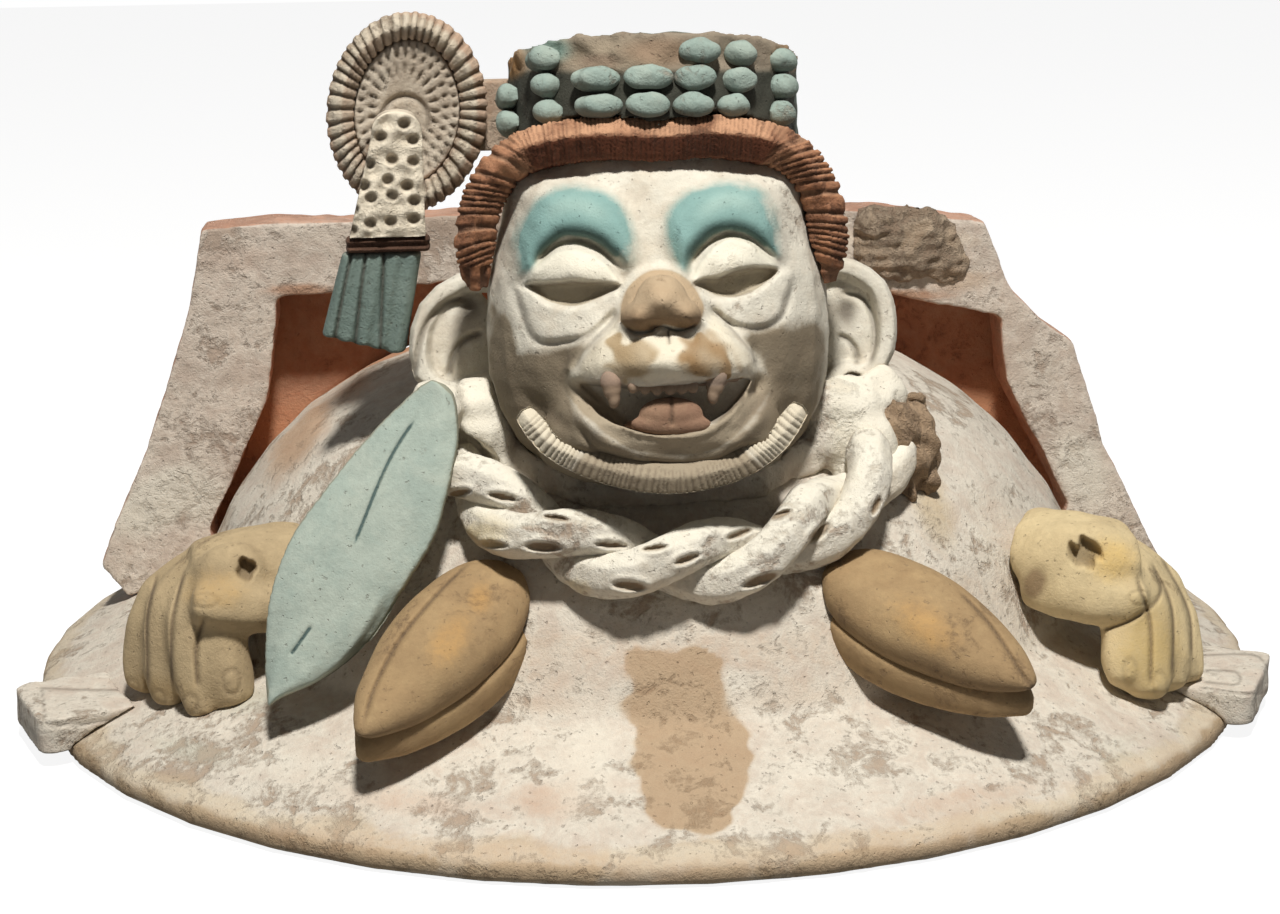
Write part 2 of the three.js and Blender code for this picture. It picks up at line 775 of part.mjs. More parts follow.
// A flared bunch of hanging strips, cut off on the slant
function tassel() {
  const top = tieMiddle - tieHalf - joint;
  const slant = 7;
  const solids = [];
  for (let fold = 0; fold < tasselFolds; fold += 1) {
    const across = (fold + 0.5) / tasselFolds;
    const rings = [0, 1].map((drop) => {
      const width = tasselWidth * (0.96 + 0.06 * drop);
      const x = pendantFoot[0] - 2 - 7 * drop + width * (across - 0.5);
      const z = top - (tasselLength - slant + slant * across) * drop;
      const strip = [];
      for (let side = 0; side < 8; side += 1) {
        const angle = (2 * Math.PI * side) / 8;
        const wide = (width / tasselFolds) * 0.62;
        strip.push(new THREE.Vector3(x + wide * Math.cos(angle), ringPlace.y - 3 + 5.2 * Math.sin(angle), z));
      }
      return strip;
    });
    solids.push(toSolid(loft(rings)));
  }
  return union(...solids);
}

const ringCutter = ornamentRing(joint * 1.6);

add('ornament_ring', ornamentRing(0), clay.slip);
const faceAndBlock = union(ornamentFace(0), ornamentBlock());
add('ornament_face', cut(faceAndBlock, ringCutter, bandCutter, hairCutter), clay.slip);
add('ornament_pendant', cut(pendant(), ringCutter, ornamentFace(joint)), clay.slip);
add('ornament_tie', tie(), clay.bare);
add('ornament_tassel', tassel(), clay.blue);

// ROPE: two strands of clay twisted together and laid on the shoulder in front of the neck

const strandSwing = strandRadius + joint;
const ropeLift = strandRadius * 1.7;

// Height of the bell's surface, moved out along its normal, at a distance from the axis
function bellHeight(radius, offset) {
  const line = bellLine(offset, 16);
  for (let i = 0; i < line.length - 1; i += 1) {
    const [low, high] = [line[i], line[i + 1]];
    if (radius <= low.x && radius >= high.x) {
      return low.y + ((high.y - low.y) * (low.x - radius)) / (low.x - high.x);
    }
  }
  return radius > line[0].x ? line[0].y : line[line.length - 1].y;
}

function bellNormal(point) {
  const radius = Math.hypot(point.x, point.y);
  const step = 1;
  const fall = (bellHeight(radius + step, ropeLift) - bellHeight(radius - step, ropeLift)) / (2 * step);
  return new THREE.Vector3((-fall * point.x) / radius, (-fall * point.y) / radius, 1).normalize();
}

function ropePoint(turn) {
  const angle = THREE.MathUtils.degToRad(THREE.MathUtils.lerp(...ropeAngles, turn));
  const x = ropeRingRadius * Math.sin(angle);
  const y = -ropeRingSetback - ropeRingRadius * Math.cos(angle);
  return new THREE.Vector3(x, y, bellHeight(Math.hypot(x, y), ropeLift));
}

// One strand's centre line, wound round the rope's own line
function strandCurve(strand) {
  const steps = 32;
  const points = [];
  for (let step = 0; step <= steps; step += 1) {
    const turn = step / steps;
    const centre = ropePoint(turn);
    const ahead = ropePoint(turn + 0.002).sub(ropePoint(turn - 0.002)).normalize();
    const out = bellNormal(centre);
    out.addScaledVector(ahead, -out.dot(ahead)).normalize();
    const across = new THREE.Vector3().crossVectors(ahead, out);
    const fromCrest = THREE.MathUtils.degToRad(THREE.MathUtils.lerp(...ropeAngles, turn) - ropeCrest);
    const twist = (-2 * Math.PI * ropeRingRadius * fromCrest) / ropePitch + Math.PI * strand;
    centre.addScaledVector(out, strandSwing * Math.cos(twist));
    points.push(centre.addScaledVector(across, strandSwing * Math.sin(twist)));
  }
  return new THREE.CatmullRomCurve3(points, false, 'centripetal');
}

function strand(number) {
  return toSolid(sweep(strandCurve(number), {
    steps: 32,
    sides: 6,
    facing: (t, point) => bellNormal(point),
    size: (t) => {
      const end = Math.min(1, 0.45 + 9 * Math.min(t, 1 - t));
      return [strandRadius * end, strandRadius * end];
    },
  }));
}

// The round the whole rope fills, which cuts the clay it is pressed against
function ropeRound() {
  const points = [-0.03, 0.15, 0.3, 0.45, 0.6, 0.75, 0.9, 1.03].map((turn) => ropePoint(turn).toArray());
  const reach = strandRadius + strandSwing + joint * 2;
  return toSolid(sweep(curveThrough(points), {
    steps: 18,
    sides: 10,
    facing: (t, point) => bellNormal(point),
    size: () => [reach, reach],
  }));
}

// LEAF: a flat slab of clay with a cut midrib, from the shoulder down to the brim

const leafTop = new THREE.Vector3(-71, bellFront + 5, 127);
const leafAim = new THREE.Vector3(-127.5, bellFront - 23, 19.7);
const leafFacing = new THREE.Vector3(-0.25, -0.9, 0.35);
// The cross-section's points: [part of the half width, part of the half thickness], with a cut midrib
const leafSection = [
  [-1, 0.45], [-0.55, 1], [-0.05, 1], [0, 0.75], [0.05, 1], [0.55, 1], [1, 0.45],
  [1, -0.6], [0, -1], [-1, -0.6],
];

function leaf(growth) {
  const along = leafAim.clone().sub(leafTop).normalize();
  const out = leafFacing.clone().addScaledVector(along, -leafFacing.dot(along)).normalize();
  const across = new THREE.Vector3().crossVectors(along, out);
  const half = leafThickness / 2 + growth;
  const rings = [];
  for (let step = 0; step <= 12; step += 1) {
    const t = step / 12;
    const fullness = Math.sin(Math.PI * t ** 0.8) ** 0.8 * (1.02 - 0.1 * t);
    const wide = (leafWidth / 2) * Math.max(0.06, fullness) + growth;
    const centre = leafTop.clone().addScaledVector(along, leafLength * t);
    centre.addScaledVector(out, leafBow * Math.sin(Math.PI * t));
    rings.push(leafSection.map(([u, v]) => (
      centre.clone().addScaledVector(across, wide * u).addScaledVector(out, half * v)
    )));
  }
  return toSolid(loft(rings));
}

// NECK with the gathered clay on both shoulders, and the stub of the lost right leaf

function shoulderLumps(growth) {
  const g = growth;
  return union(
    ellipsoid([-60, bellFront + 21, 102], [13 + g, 14 + g, 23 + g], 10, 7),
    ellipsoid([-72, bellFront + 12, 118], [9 + g, 9 + g, 9 + g], 8, 5),
    ellipsoid([60, bellFront + 22, 104], [17 + g, 14 + g, 19 + g], 10, 7),
  );
}

function neckCollar() {
  return union(ellipsoid([-2, bellFront + 27, 94], [57, 35, 22], 18, 6), shoulderLumps(0));
}

function leafStub() {
  return union(
    ellipsoid([77, bellFront + 25, 98], [11, 9, 11], 8, 6),
    ellipsoid([82, bellFront + 25, 91], [7, 7, 10], 7, 5),
    ellipsoid([76, bellFront + 20, 84], [6, 7, 10], 7, 5),
    ellipsoid([81, bellFront + 31, 114], [4.5, 5, 13], 7, 5),
  );
}

const ropeCutter = ropeRound();
const leafCutter = leaf(joint);
const earLeft = ear(earRimLeft, [-65, -14]);
const earRight = ear(earRimRight, [63, -12], lobeRight).subtract(lobeHole(lobeRight, 4.6));
const collar = cut(neckCollar(), headCutter, lidCutter, ropeCutter, leafCutter, earLobe(joint));
const collarCutter = cut(shoulderLumps(joint), earLobe(0));
const lobeBall = headEllipsoid([lobeRight[0] - 0.7, earDepth - 2, lobeRight[1] - 0.7], [3.2, 4, 3.2], 10, 6);


add('neck_collar', collar, clay.slip);
add('rope_strand_a', cut(strand(0), lidCutter, leafCutter), clay.slip);
add('rope_strand_b', cut(strand(1), lidCutter, leafCutter), clay.slip);
add('leaf_left', cut(leaf(0), lidCutter), clay.blue);
const stub = cut(leafStub(), lidCutter, ropeCutter, shoulderLumps(joint), earLobe(joint));
add('leaf_stub_right', stub, clay.bare);
add('ear_left', cut(earLeft, headCutter, hairCutter, collarCutter, leafCutter), clay.face);
add('ear_right', cut(earRight, headCutter, hairCutter, collarCutter), clay.face);
add('lobe_ball_right', lobeBall, clay.bare);

// PODS: a two-lobed pod in an open husk, standing out from the breast

const podStartLeft = new THREE.Vector3(-50, bellFront - 7, 70);
const podTipLeft = new THREE.Vector3(-98.5, bellFront - 58, 37);
const podStartRight = new THREE.Vector3(46, bellFront - 10, 68);
const podTipRight = new THREE.Vector3(101, bellFront - 58, 43);

// A lens-shaped body from the breast out to its tip, dropped below the pod's own line for the husk
function podSweep(start, tip, width, height, drop) {
  const along = tip.clone().sub(start).normalize();
  const up = new THREE.Vector3(0, -0.55, 1);
  up.addScaledVector(along, -up.dot(along)).normalize();
  const across = new THREE.Vector3().crossVectors(along, up);
  const rings = [];
  for (let step = 0; step <= 8; step += 1) {
    const t = step / 8;
    const fullness = 0.08 + 0.92 * swell(0.06 + 0.94 * t ** 0.85, 0.7);
    const centre = start.clone().lerp(tip, t).addScaledVector(up, -drop);
    const ring = [];
    for (let side = 0; side < podSides; side += 1) {
      const angle = (2 * Math.PI * side) / podSides;
      const groove = side === 0 && drop === 0 ? 2.2 : 0;
      const high = height * fullness - groove * fullness;
      const point = centre.clone().addScaledVector(up, high * Math.cos(angle));
      ring.push(point.addScaledVector(across, width * fullness * Math.sin(angle)));
    }
    rings.push(ring);
  }
  return toSolid(loft(rings));
}

const podLines = [['left', podStartLeft, podTipLeft], ['right', podStartRight, podTipRight]];
for (const [side, start, tip] of podLines) {
  const body = podSweep(start, tip, podWidth / 2, podHeight / 2, 0);
  const bodyCutter = podSweep(start, tip, podWidth / 2 + joint * 1.4, podHeight / 2 + joint * 1.4, 0);
  const husk = podSweep(start, tip, podWidth / 2 + huskLip, podHeight / 2, huskDrop);
  add(`pod_${side}`, cut(body, lidCutter, ropeCutter), clay.ochre);
  add(`husk_${side}`, cut(husk, bodyCutter, lidCutter, ropeCutter), clay.slip);
}

// HANDS: a thick palm with four drooping fingers, and a thumb laid across
// Their points are measured from the lid's ridge: sideways from its edge, and up from its crest

const handLeft = {
  palm: [[52, -62, 29], [36, -76, 30], [20, -83, 30], [10, -84, 28]],
  knuckles: [[14, -73, 29], [16, -80, 30], [19, -88, 30], [24, -94, 27]],
  bends: [[-4, -76, 19], [1, -86, 21], [8, -95, 22], [17, -100, 17]],
  tips: [[-11, -79, -10], [-1, -92, -11], [11, -104, -11], [21, -106, -7]],
  thumb: [[44, -84, 19], [32, -101, 22], [20, -106, 25], [10, -107, 26]],
};
const handRight = {
  palm: [[-50, -76, 30], [-38, -90, 30.5], [-23, -97, 29], [-11, -96, 27]],
  knuckles: [[-13, -86, 26], [-13, -94, 26], [-15, -101, 24], [-19, -106, 21]],
  bends: [[5, -89, 13], [0, -98, 14], [-7, -106, 15], [-13, -110, 11]],
  tips: [[9, -108, -13], [1, -116, -12], [-8, -125, -11], [-16, -124, -7]],
  thumb: [[-42, -101, 19], [-31, -112, 18], [-19, -114, 17], [-8, -112, 17]],
};

const ridgeCrest = ridgeHeight - 0.8;

function onRidge(hand, side) {
  const place = ([x, y, z]) => [side * ridgeRadius + x, y, ridgeCrest + z];
  const placeAll = (points) => points.map(place);
  return Object.fromEntries(Object.entries(hand).map(([part, points]) => [part, placeAll(points)]));
}

const hands = { left: onRidge(handLeft, -1), right: onRidge(handRight, 1) };

function fingerSweep(points, radius, growth) {
  return toSolid(sweep(curveThrough(stretched(points, growth)), {
    steps: 5,
    sides: 6,
    facing: () => new THREE.Vector3(0.05, -0.7, 0.7),
    size: (t) => {
      const end = t > 0.88 ? 0.72 : 1;
      return [radius * end + growth, radius * end + growth];
    },
  }));
}

function handForm(hand, growth) {
  const palm = toSolid(sweep(curveThrough(stretched(hand.palm, growth)), {
    steps: 5,
    sides: 9,
    facing: () => new THREE.Vector3(0, 0, 1),
    size: (t) => [12.5 - 2 * t + growth, 17 + 2 * t + growth],
  }));
  const fingers = hand.knuckles.map((knuckle, i) => (
    fingerSweep([knuckle, hand.bends[i], hand.tips[i]], fingerRadius, growth)
  ));
  return union(palm, ...fingers);
}

for (const [side, hand] of Object.entries(hands)) {
  add(`hand_${side}`, cut(handForm(hand, 0), lidCutter, leafCutter), clay.ochre);
  const thumb = fingerSweep(hand.thumb, thumbRadius, 0);
  add(`thumb_${side}`, cut(thumb, handForm(hand, joint), lidCutter, leafCutter), clay.ochre);
}

// LUGS on the brim under the hands, pointing outwards

function lug(degrees, reach, width) {
  const [inner, half, c] = [reach - lugLength, width / 2, lugCorner];
  const outline = new THREE.Shape();
  outline.moveTo(inner, -half);
  outline.lineTo(reach - c, -half);
  outline.quadraticCurveTo(reach, -half, reach, -half + c);
  outline.lineTo(reach, half - c);
  outline.quadraticCurveTo(reach, half, reach - c, half);
  outline.lineTo(inner, half);
  const block = new THREE.ExtrudeGeometry(outline, {
    depth: lugTop - lugBottom,
    bevelEnabled: false,
    curveSegments: 3,
  });
  block.translate(0, 0, lugBottom);
  block.rotateZ(THREE.MathUtils.degToRad(degrees));
  return toSolid(block);
}

const handCutters = [handForm(hands.left, joint), handForm(hands.right, joint)];
add('lug_left', cut(lug(200.6, brimRadius + lugProudLeft, lugWidthLeft), lidCutter, handCutters[0]), clay.slip);
add('lug_right', cut(lug(-27, brimRadius + lugProudRight, lugWidthRight), lidCutter, handCutters[1]), clay.slip);

export default lid;
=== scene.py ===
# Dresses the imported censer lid: fired clay with worn slip and paint, set up as the photograph shows it
import json
import math
import bpy
import numpy as np
from mathutils import Matrix, Vector

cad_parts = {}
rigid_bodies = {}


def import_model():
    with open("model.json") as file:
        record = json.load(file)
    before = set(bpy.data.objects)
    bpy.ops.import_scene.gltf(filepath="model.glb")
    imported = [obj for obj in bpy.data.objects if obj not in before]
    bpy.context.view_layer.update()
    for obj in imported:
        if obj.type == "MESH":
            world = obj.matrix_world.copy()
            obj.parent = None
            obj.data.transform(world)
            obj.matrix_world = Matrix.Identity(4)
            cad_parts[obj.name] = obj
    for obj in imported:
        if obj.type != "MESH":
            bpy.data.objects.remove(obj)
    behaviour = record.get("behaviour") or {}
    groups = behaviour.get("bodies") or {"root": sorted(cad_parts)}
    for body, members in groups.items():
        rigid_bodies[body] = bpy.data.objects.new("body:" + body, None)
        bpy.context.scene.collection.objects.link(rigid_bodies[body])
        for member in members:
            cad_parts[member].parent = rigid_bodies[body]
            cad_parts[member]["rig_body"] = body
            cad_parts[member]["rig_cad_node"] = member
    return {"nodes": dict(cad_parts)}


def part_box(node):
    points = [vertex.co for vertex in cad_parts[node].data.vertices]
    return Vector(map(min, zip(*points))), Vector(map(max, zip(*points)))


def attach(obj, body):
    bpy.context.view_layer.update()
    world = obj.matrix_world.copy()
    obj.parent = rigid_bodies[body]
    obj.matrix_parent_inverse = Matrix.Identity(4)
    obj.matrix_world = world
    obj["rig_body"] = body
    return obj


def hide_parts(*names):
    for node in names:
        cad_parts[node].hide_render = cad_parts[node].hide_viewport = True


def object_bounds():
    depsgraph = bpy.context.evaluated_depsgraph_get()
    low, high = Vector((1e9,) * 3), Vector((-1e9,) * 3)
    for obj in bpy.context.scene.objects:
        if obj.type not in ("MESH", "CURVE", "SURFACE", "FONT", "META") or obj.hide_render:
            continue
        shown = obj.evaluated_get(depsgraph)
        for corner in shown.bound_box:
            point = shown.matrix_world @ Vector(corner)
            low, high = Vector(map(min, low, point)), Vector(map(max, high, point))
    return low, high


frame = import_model()
cad_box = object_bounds()

# CAMERA, at the photograph's viewing angle
PICTURE = (1280, 914)
LENS_PX = 2468.0
AZIMUTH = math.radians(-5.0)
DISTANCE = 0.86
HEIGHT = 0.2866
PITCH = math.radians(13.95)
ROLL = math.radians(0.8)

eye = Vector((DISTANCE * math.sin(AZIMUTH), -DISTANCE * math.cos(AZIMUTH), HEIGHT))
level = Vector((-math.sin(AZIMUTH), math.cos(AZIMUTH), 0))
look = Vector((level.x * math.cos(PITCH), level.y * math.cos(PITCH), -math.sin(PITCH)))
side = look.cross(Vector((0, 0, 1))).normalized()
rise = side.cross(look)
across = side * math.cos(ROLL) - rise * math.sin(ROLL)
upward = side * math.sin(ROLL) + rise * math.cos(ROLL)

camera_data = bpy.data.cameras.new("photo_camera")
camera_data.sensor_width = 36
camera_data.lens = LENS_PX * 36 / PICTURE[0]
camera_data.clip_start = 0.01
camera = bpy.data.objects.new("photo_camera", camera_data)
bpy.context.scene.collection.objects.link(camera)
camera.matrix_world = Matrix.Translation(eye) @ Matrix((across, upward, -look)).transposed().to_4x4()
bpy.context.scene.camera = camera


def in_picture(places):
    """Where points of the object (metres) fall in the photograph, in its pixels."""
    d = places - np.array(eye)
    depth = d @ np.array(look)
    u = PICTURE[0] / 2 + LENS_PX * (d @ np.array(across)) / depth
    v = PICTURE[1] / 2 - LENS_PX * (d @ np.array(upward)) / depth
    return np.stack([u, v], 1)


def from_picture(spot_px, y_mm):
    """The point (metres) that a photograph pixel shows, at a distance y from the object's axis."""
    ray = np.array(look) * LENS_PX + np.array(across) * (spot_px[0] - PICTURE[0] / 2)
    ray = ray - np.array(upward) * (spot_px[1] - PICTURE[1] / 2)
    return np.array(eye) + ray * (y_mm / 1000 - eye.y) / ray[1]


# MATERIALS

def link(tree, a, b):
    tree.links.new(a, b)


def noise(tree, coord, scale, detail=4, rough=0.6, distortion=0.0):
    node = tree.nodes.new("ShaderNodeTexNoise")
    node.inputs["Scale"].default_value = scale
    node.inputs["Detail"].default_value = detail
    node.inputs["Roughness"].default_value = rough
    node.inputs["Distortion"].default_value = distortion
    link(tree, coord, node.inputs["Vector"])
    return node.outputs["Fac"]


def ramp(tree, value, low, high):
    """0 up to the low value and 1 from the high one, with a smooth rise between."""
    node = tree.nodes.new("ShaderNodeMapRange")
    node.interpolation_type = "SMOOTHSTEP"
    node.inputs["From Min"].default_value = low
    node.inputs["From Max"].default_value = high
    link(tree, value, node.inputs["Value"])
    return node.outputs["Result"]


def maths(tree, kind, a, b=None, c=None, clamp=False):
    node = tree.nodes.new("ShaderNodeMath")
    node.operation = kind
    node.use_clamp = clamp
    for slot, value in enumerate((a, b, c)):
        if value is None:
            continue
        if hasattr(value, "node"):
            link(tree, value, node.inputs[slot])
        else:
            node.inputs[slot].default_value = value
    return node.outputs[0]


def weighted(tree, *parts):
    """The sum of values, each times its own weight."""
    total = None
    for value, weight in parts:
        part = maths(tree, "MULTIPLY", value, weight)
        total = part if total is None else maths(tree, "ADD", total, part)
    return total


def blend(tree, fac, a, b, mode="MIX"):
    node = tree.nodes.new("ShaderNodeMix")
    node.data_type = "RGBA"
    node.blend_type = mode
    for slot, value in ((0, fac), (6, a), (7, b)):
        if hasattr(value, "node"):
            link(tree, value, node.inputs[slot])
        else:
            node.inputs[slot].default_value = value if slot == 0 else (*value, 1)
    return node.outputs[2]


WORN_CLAY_INPUTS = {
    "Coat": (0.7, 0.65, 0.56, 1), "Clay": (0.36, 0.25, 0.18, 1), "Stain": (0.45, 0.33, 0.25, 1),
    "Loss": 0.4, "Staining": 0.5, "Grain": 1.0,
}
CHALKY_CLOUD = (1.0, 0.97, 0.9)
SPECK_BROWN = (0.16, 0.12, 0.09)
# The dark of dirt and of painted shade in hollows, grooves and undersides
DIRT_AND_SHADE_BROWN = (0.075, 0.052, 0.036)


def worn_clay_group():
    """Fired clay under a thin coat that has flaked, rubbed off and been stained."""
    tree = bpy.data.node_groups.new("worn_clay", "ShaderNodeTree")
    for name, start in WORN_CLAY_INPUTS.items():
        kind = "NodeSocketColor" if isinstance(start, tuple) else "NodeSocketFloat"
        tree.interface.new_socket(name=name, in_out="INPUT", socket_type=kind).default_value = start
    for name in ("Color", "Roughness", "Height", "Break"):
        kind = "NodeSocketColor" if name == "Color" else "NodeSocketFloat"
        tree.interface.new_socket(name=name, in_out="OUTPUT", socket_type=kind)
    given = tree.nodes.new("NodeGroupInput").outputs
    result = tree.nodes.new("NodeGroupOutput").inputs
    place = tree.nodes.new("ShaderNodeTexCoord").outputs["Object"]

    broad = noise(tree, place, 26, 5, 0.65, 0.4)
    patch = noise(tree, place, 95, 6, 0.7, 0.6)
    fine = noise(tree, place, 420, 5, 0.7)
    grit = noise(tree, place, 1500, 3, 0.6)

    # How far the coat has gone at each place
    mixed = weighted(tree, (broad, 0.45), (patch, 0.4), (fine, 0.15))
    level_of_loss = maths(tree, "MULTIPLY_ADD", given["Loss"], 0.36, 0.32)
    gone = ramp(tree, maths(tree, "SUBTRACT", level_of_loss, mixed), -0.035, 0.05)

    stain = ramp(tree, weighted(tree, (patch, 0.6), (broad, 0.5)), 0.48, 0.68)
    stain = maths(tree, "MULTIPLY", stain, given["Staining"], clamp=True)

    coat = blend(tree, stain, given["Coat"], given["Stain"])
    cloud = ramp(tree, noise(tree, place, 60, 4, 0.6), 0.35, 0.7)
    coat = blend(tree, maths(tree, "MULTIPLY", cloud, 0.22), coat, CHALKY_CLOUD, "SOFT_LIGHT")
    colour = blend(tree, maths(tree, "MULTIPLY", gone, 0.85), coat, given["Clay"])
    chips = ramp(tree, noise(tree, place, 150, 5, 0.65, 0.4), 0.62, 0.72)
    chips = maths(tree, "MULTIPLY", chips, given["Loss"], clamp=True)
    colour = blend(tree, maths(tree, "MULTIPLY", chips, 0.8), colour, given["Clay"])
    gone = maths(tree, "MAXIMUM", gone, chips)
    specks = ramp(tree, noise(tree, place, 560, 2, 0.5), 0.67, 0.74)
    colour = blend(tree, maths(tree, "MULTIPLY", specks, 0.28), colour, SPECK_BROWN)
    light = maths(tree, "MULTIPLY_ADD", fine, 0.5, 0.75)
    link(tree, blend(tree, 0.75, colour, light, "MULTIPLY"), result["Color"])

    link(tree, maths(tree, "MULTIPLY_ADD", gone, 0.1, 0.84), result["Roughness"])
    height = maths(tree, "MULTIPLY", gone, -0.7)
    height = maths(tree, "MULTIPLY_ADD", fine, 0.9, height)
    height = maths(tree, "MULTIPLY_ADD", maths(tree, "MULTIPLY", grit, given["Grain"]), 0.5, height)
    height = maths(tree, "MULTIPLY_ADD", specks, -0.6, height)
    link(tree, height, result["Height"])
    broken = maths(tree, "MULTIPLY_ADD", patch, 0.5, maths(tree, "MULTIPLY", fine, 0.5))
    link(tree, broken, result["Break"])
    return tree


worn_clay = worn_clay_group()


def clay_material(name, coat, clay, stain, loss, staining, grain=1.0, bump=0.0006):
    """A clay finish: the worn coat, under the colours brushed on a piece, and dirt and painted shade in its
    hollows.
    """
    material = bpy.data.materials.new(name)
    material.use_nodes = True
    tree = material.node_tree
    shader = tree.nodes["Principled BSDF"]
    shader.inputs["Specular IOR Level"].default_value = 0.25
    ground = tree.nodes.new("ShaderNodeGroup")
    ground.node_tree = worn_clay
    for key, value in (("Coat", coat), ("Clay", clay), ("Stain", stain)):
        ground.inputs[key].default_value = (*value, 1)
    for key, value in (("Loss", loss), ("Staining", staining), ("Grain", grain)):
        ground.inputs[key].default_value = value

    brushed = tree.nodes.new("ShaderNodeAttribute")
    brushed.attribute_name = "paint"
    broken = maths(tree, "MULTIPLY_ADD", ground.outputs["Break"], 0.9, -0.45)
    cover = ramp(tree, maths(tree, "ADD", brushed.outputs["Alpha"], broken), 0.18, 0.72)
    limit = maths(tree, "MINIMUM", maths(tree, "MULTIPLY", brushed.outputs["Alpha"], 1.5), 1.0)
    cover = maths(tree, "MULTIPLY", cover, limit)
    varied = blend(tree, 0.55, brushed.outputs["Color"], ground.outputs["Color"], "SOFT_LIGHT")
    colour = blend(tree, cover, ground.outputs["Color"], varied)

    # This attribute darkens hollows, grooves and undersides: partly dirt and partly painted shade
    dirt_and_shade = tree.nodes.new("ShaderNodeAttribute")
    dirt_and_shade.attribute_name = "dirt_and_shade"
    colour = blend(tree, maths(tree, "MULTIPLY", dirt_and_shade.outputs["Fac"], 0.85), colour, DIRT_AND_SHADE_BROWN)
    link(tree, colour, shader.inputs["Base Color"])
    link(tree, ground.outputs["Roughness"], shader.inputs["Roughness"])
    relief = tree.nodes.new("ShaderNodeBump")
    relief.inputs["Strength"].default_value = 1.0
    relief.inputs["Distance"].default_value = bump
    link(tree, ground.outputs["Height"], relief.inputs["Height"])
    link(tree, relief.outputs["Normal"], shader.inputs["Normal"])
    return material


WHITE = (0.68, 0.63, 0.54)
CLAY = (0.40, 0.30, 0.22)
PINK = (0.55, 0.45, 0.37)

# Each finish: its coat, the clay beneath, its stains, how much coat is lost and how stained it is,
# and where it has its own, its grain and the depth of its bump
FINISHES = {
    "lid_slip": (WHITE, CLAY, PINK, 0.36, 0.7),
    "panel_slip": ((0.72, 0.64, 0.55), (0.42, 0.32, 0.25), (0.50, 0.40, 0.33), 0.45, 0.8),
    "recess_red": ((0.40, 0.19, 0.11), (0.26, 0.13, 0.08), (0.48, 0.30, 0.20), 0.35, 0.5),
    "face_slip": ((0.70, 0.66, 0.56), (0.42, 0.34, 0.26), (0.56, 0.49, 0.39), 0.24, 0.7, 1.0, 0.0004),
    "hair_red": ((0.29, 0.135, 0.075), (0.16, 0.08, 0.05), (0.42, 0.25, 0.15), 0.4, 0.5),
    "blue_coat": ((0.29, 0.37, 0.33), (0.34, 0.31, 0.25), (0.38, 0.44, 0.38), 0.3, 0.6, 1.0, 0.0005),
    "tassel_blue": ((0.16, 0.215, 0.19), (0.26, 0.25, 0.20), (0.22, 0.28, 0.25), 0.3, 0.6),
    "leaf_blue": ((0.35, 0.42, 0.37), (0.42, 0.40, 0.33), (0.45, 0.50, 0.43), 0.2, 0.6, 1.0, 0.0003),
    "rope_slip": ((0.70, 0.66, 0.57), CLAY, (0.56, 0.48, 0.37), 0.32, 0.6),
    "pod_ochre": ((0.32, 0.215, 0.112), (0.21, 0.14, 0.08), (0.38, 0.265, 0.14), 0.3, 0.7, 1.0, 0.0003),
    "hand_ochre": ((0.42, 0.32, 0.19), (0.28, 0.20, 0.12), (0.48, 0.37, 0.22), 0.3, 0.6, 1.0, 0.0004),
    "hand_yellow": ((0.57, 0.45, 0.26), (0.38, 0.28, 0.16), (0.66, 0.53, 0.31), 0.25, 0.6, 1.0, 0.0004),
    "bare_clay": ((0.36, 0.27, 0.19), (0.24, 0.17, 0.12), (0.44, 0.35, 0.26), 0.45, 0.6, 1.6, 0.0012),
    "tooth_slip": ((0.26, 0.20, 0.155), (0.30, 0.20, 0.14), (0.38, 0.26, 0.19), 0.3, 0.6, 1.0, 0.0002),
    "tongue_stain": ((0.25, 0.145, 0.095), (0.16, 0.09, 0.06), (0.34, 0.22, 0.14), 0.3, 0.6, 1.0, 0.0003),
    "scar_clay": ((0.44, 0.35, 0.26), (0.28, 0.20, 0.14), (0.36, 0.26, 0.18), 0.5, 0.8, 1.6, 0.0012),
    "ornament_slip": ((0.60, 0.53, 0.43), (0.27, 0.19, 0.13), (0.42, 0.34, 0.26), 0.42, 0.7),
}
MATERIALS = {name: clay_material(name, *row) for name, row in FINISHES.items()}


# MODELLING HELPERS


def only(obj):
    bpy.ops.object.select_all(action="DESELECT")
    obj.hide_set(False)
    obj.select_set(True)
    bpy.context.view_layer.objects.active = obj


def apply_modifier(obj, kind, **settings):
    only(obj)
    made = obj.modifiers.new(kind.lower(), kind)
    for key, value in settings.items():
        setattr(made, key, value)
    bpy.ops.object.modifier_apply(modifier=made.name)


def remeshed(piece, voxel, smooth):
    apply_modifier(piece, "REMESH", mode="VOXEL", voxel_size=voxel, adaptivity=0.0)
    apply_modifier(piece, "SMOOTH", factor=0.5, iterations=smooth)
    return piece


def dense_copy(name, nodes, voxel, smooth, swell=0.0, extra=()):
    """The CAD nodes copied as one piece of clay: joined, swollen to meet, remeshed finely and smoothed."""
    bpy.ops.object.select_all(action="DESELECT")
    for node in nodes:
        frame["nodes"][node].select_set(True)
    bpy.context.view_layer.objects.active = frame["nodes"][nodes[0]]
    bpy.ops.object.duplicate()
    for ball in extra:
        ball.select_set(True)
    if len(nodes) > 1 or extra:
        bpy.ops.object.join()
    piece = bpy.context.view_layer.objects.active
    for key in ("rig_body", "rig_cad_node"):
        if key in piece:
            del piece[key]
    piece.parent = None
    piece.matrix_world = Matrix.Identity(4)
    piece.name = name
    piece.data.name = name
    piece.data.materials.clear()
    only(piece)
    bpy.ops.object.mode_set(mode="EDIT")
    bpy.ops.mesh.select_all(action="SELECT")
    bpy.ops.mesh.remove_doubles(threshold=0.000002)
    bpy.ops.object.mode_set(mode="OBJECT")
    if swell:
        apply_modifier(piece, "DISPLACE", strength=swell / 1000, mid_level=0.0)
    return remeshed(piece, voxel, smooth)


